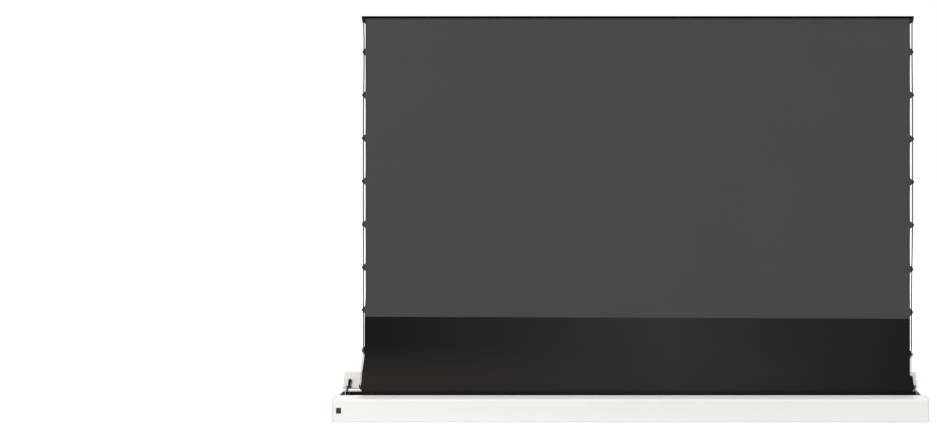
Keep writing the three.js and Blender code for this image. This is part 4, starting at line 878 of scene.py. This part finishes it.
CAP_SCREWS = [(-67, 102), (-67, 14.1), (67, 14.1), (0, 90), (63, 76)]
LID_SCREW = (85.77, 146.88)
LEVER_SCREWS, ROLLER_SCREWS, FLANGE_TOP = (4, 38), (-40, -22), 9.1
ROLLER_FLANGE_X = {"left": -1345.4, "right": 1411.1}
for side_name, side in OUTWARD.items():
    axis = "-x" if side < 0 else "+x"
    end = side * HOUSING_LENGTH / 2
    caps = [(end - side * 0.55, y, z) for y, z in CAP_SCREWS]
    screws("cap_screws_" + side_name, "housing", axis, caps, radius=3.6, rise=0.4)
    screws("lid_screw_" + side_name, "lid", axis, [(end - side * 0.5, *LID_SCREW)], radius=3.1, rise=0.7)
    flanges = [(LEVER_X[side_name] - side * 7.8, y, FLANGE_TOP) for y in LEVER_SCREWS]
    flanges += [(ROLLER_FLANGE_X[side_name], y, FLANGE_TOP) for y in ROLLER_SCREWS]
    screws("floor_screws_" + side_name, "housing", "+z", flanges, radius=2.6, rise=0.9)


# Receiver window
def rounded_slab(centre, half_width, half_height, corner, front, rear, ease):
    """A slab in the X-Z plane with round corners and an eased front edge, closed by a point at its front and rear."""
    sides = 64
    angle = ring_angles(sides)
    cos, sin = np.cos(angle), np.sin(angle)
    box = np.stack([
        np.sign(cos) * np.minimum(np.abs(cos) * 1.5, 1) * (half_width - corner),
        np.sign(sin) * np.minimum(np.abs(sin) * 1.5, 1) * (half_height - corner),
    ], -1)
    steps = [(front, ease), (front + ease * 0.3, ease * 0.3), (front + ease, 0), (rear, 0)]
    rows = []
    for depth, pull in [(front, None), *steps, (rear, None)]:
        outline = 0 * box if pull is None else box + np.stack([cos, sin], -1) * (corner - pull)
        rows.append(np.stack([centre[0] + outline[:, 0], np.full(sides, depth), centre[1] + outline[:, 1]], -1))
    return np.concatenate(rows), grid_faces(len(rows), sides, True)


slab = rounded_slab(
    middle_of("ir_window"), half_width=11.8, half_height=13.5, corner=1.6,
    front=FRONT_Y - 0.4, rear=FRONT_Y + 3.3, ease=0.5)
place_piece("receiver_window", closed_mesh("receiver_window", [slab]), "smoked_plastic", "housing", ["ir_window"], 30)

# Inner pieces that keep their solids
KEPT = {
    "zinc_steel": ("tubular_motor", "idler_pin"),
    "black_plastic": ("motor_head", "drive_crown", "drive_adapter", "idler_cap"),
}
for finish, nodes in KEPT.items():
    for node in nodes:
        slots = frame["nodes"][node].data.materials
        slots.clear()
        slots.append(FINISH[finish])


# Floor, backdrop and lamps
def seen_directly(tree):
    """1 for a ray straight from the camera or by way of a gloss or a clear piece, otherwise 0."""
    path = add_node(tree, "LightPath").outputs
    straight = worked(tree, "MAXIMUM", path["Is Camera Ray"], path["Is Glossy Ray"])
    return worked(tree, "MAXIMUM", straight, path["Is Transmission Ray"])


floor_mesh = bpy.data.meshes.new("floor")
floor_mesh.from_pydata([(-40, -40, 0), (40, -40, 0), (40, 40, 0), (-40, 40, 0)], [], [(0, 1, 2, 3)])
floor = bpy.data.objects.new("floor", floor_mesh)
scene.collection.objects.link(floor)
paper = bpy.data.materials.new("white_paper")
paper.use_nodes = True
tree = paper.node_tree
tree.nodes.clear()
flat = add_node(tree, "BsdfDiffuse", {"Color": linear("#E8E8E8")}).outputs["BSDF"]
glow = add_node(tree, "Emission", {"Color": (1, 1, 1, 1), "Strength": 0.26}).outputs["Emission"]
bright = add_node(tree, "AddShader", {0: flat, 1: glow}).outputs["Shader"]
shade = add_node(tree, "MixShader", {0: seen_directly(tree), 1: flat, 2: bright}).outputs["Shader"]
add_node(tree, "OutputMaterial", {"Surface": shade})
floor_mesh.materials.append(paper)

world = bpy.data.worlds.new("studio")
scene.world = world
world.use_nodes = True
tree = world.node_tree
tree.nodes.clear()
soft = add_node(tree, "Background", {"Color": (1, 1, 1, 1), "Strength": 0.44}).outputs["Background"]
white = add_node(tree, "Background", {"Color": (1, 1, 1, 1), "Strength": 1.0}).outputs["Background"]
sky = add_node(tree, "MixShader", {0: seen_directly(tree), 1: soft, 2: white}).outputs["Shader"]
add_node(tree, "OutputWorld", {"Surface": sky})


def soft_lamp(name, kind, location, target, power, **settings):
    """A lamp that faces its target."""
    lamp = bpy.data.lights.new(name, kind)
    lamp.energy = power
    for key, value in settings.items():
        setattr(lamp, key, value)
    holder = bpy.data.objects.new(name, lamp)
    holder.location = location
    x, y, z = np.asarray(target, float) - np.asarray(location, float)
    holder.rotation_euler = (math.atan2(math.hypot(x, y), -z), 0, math.atan2(y, x) - math.pi / 2)
    scene.collection.objects.link(holder)


soft_lamp("high", "SUN", (-0.7, -3.31, 7.25), (0, 0, 0), 1.72, angle=math.radians(25))
soft_lamp("key", "AREA", (-3.6, -4.2, 3.4), (-0.3, 0, 0.3), 60, size=2.5)
soft_lamp("rear", "AREA", (0.5, 4.5, 3.2), (0, 0, 0.8), 80, size=3.0)
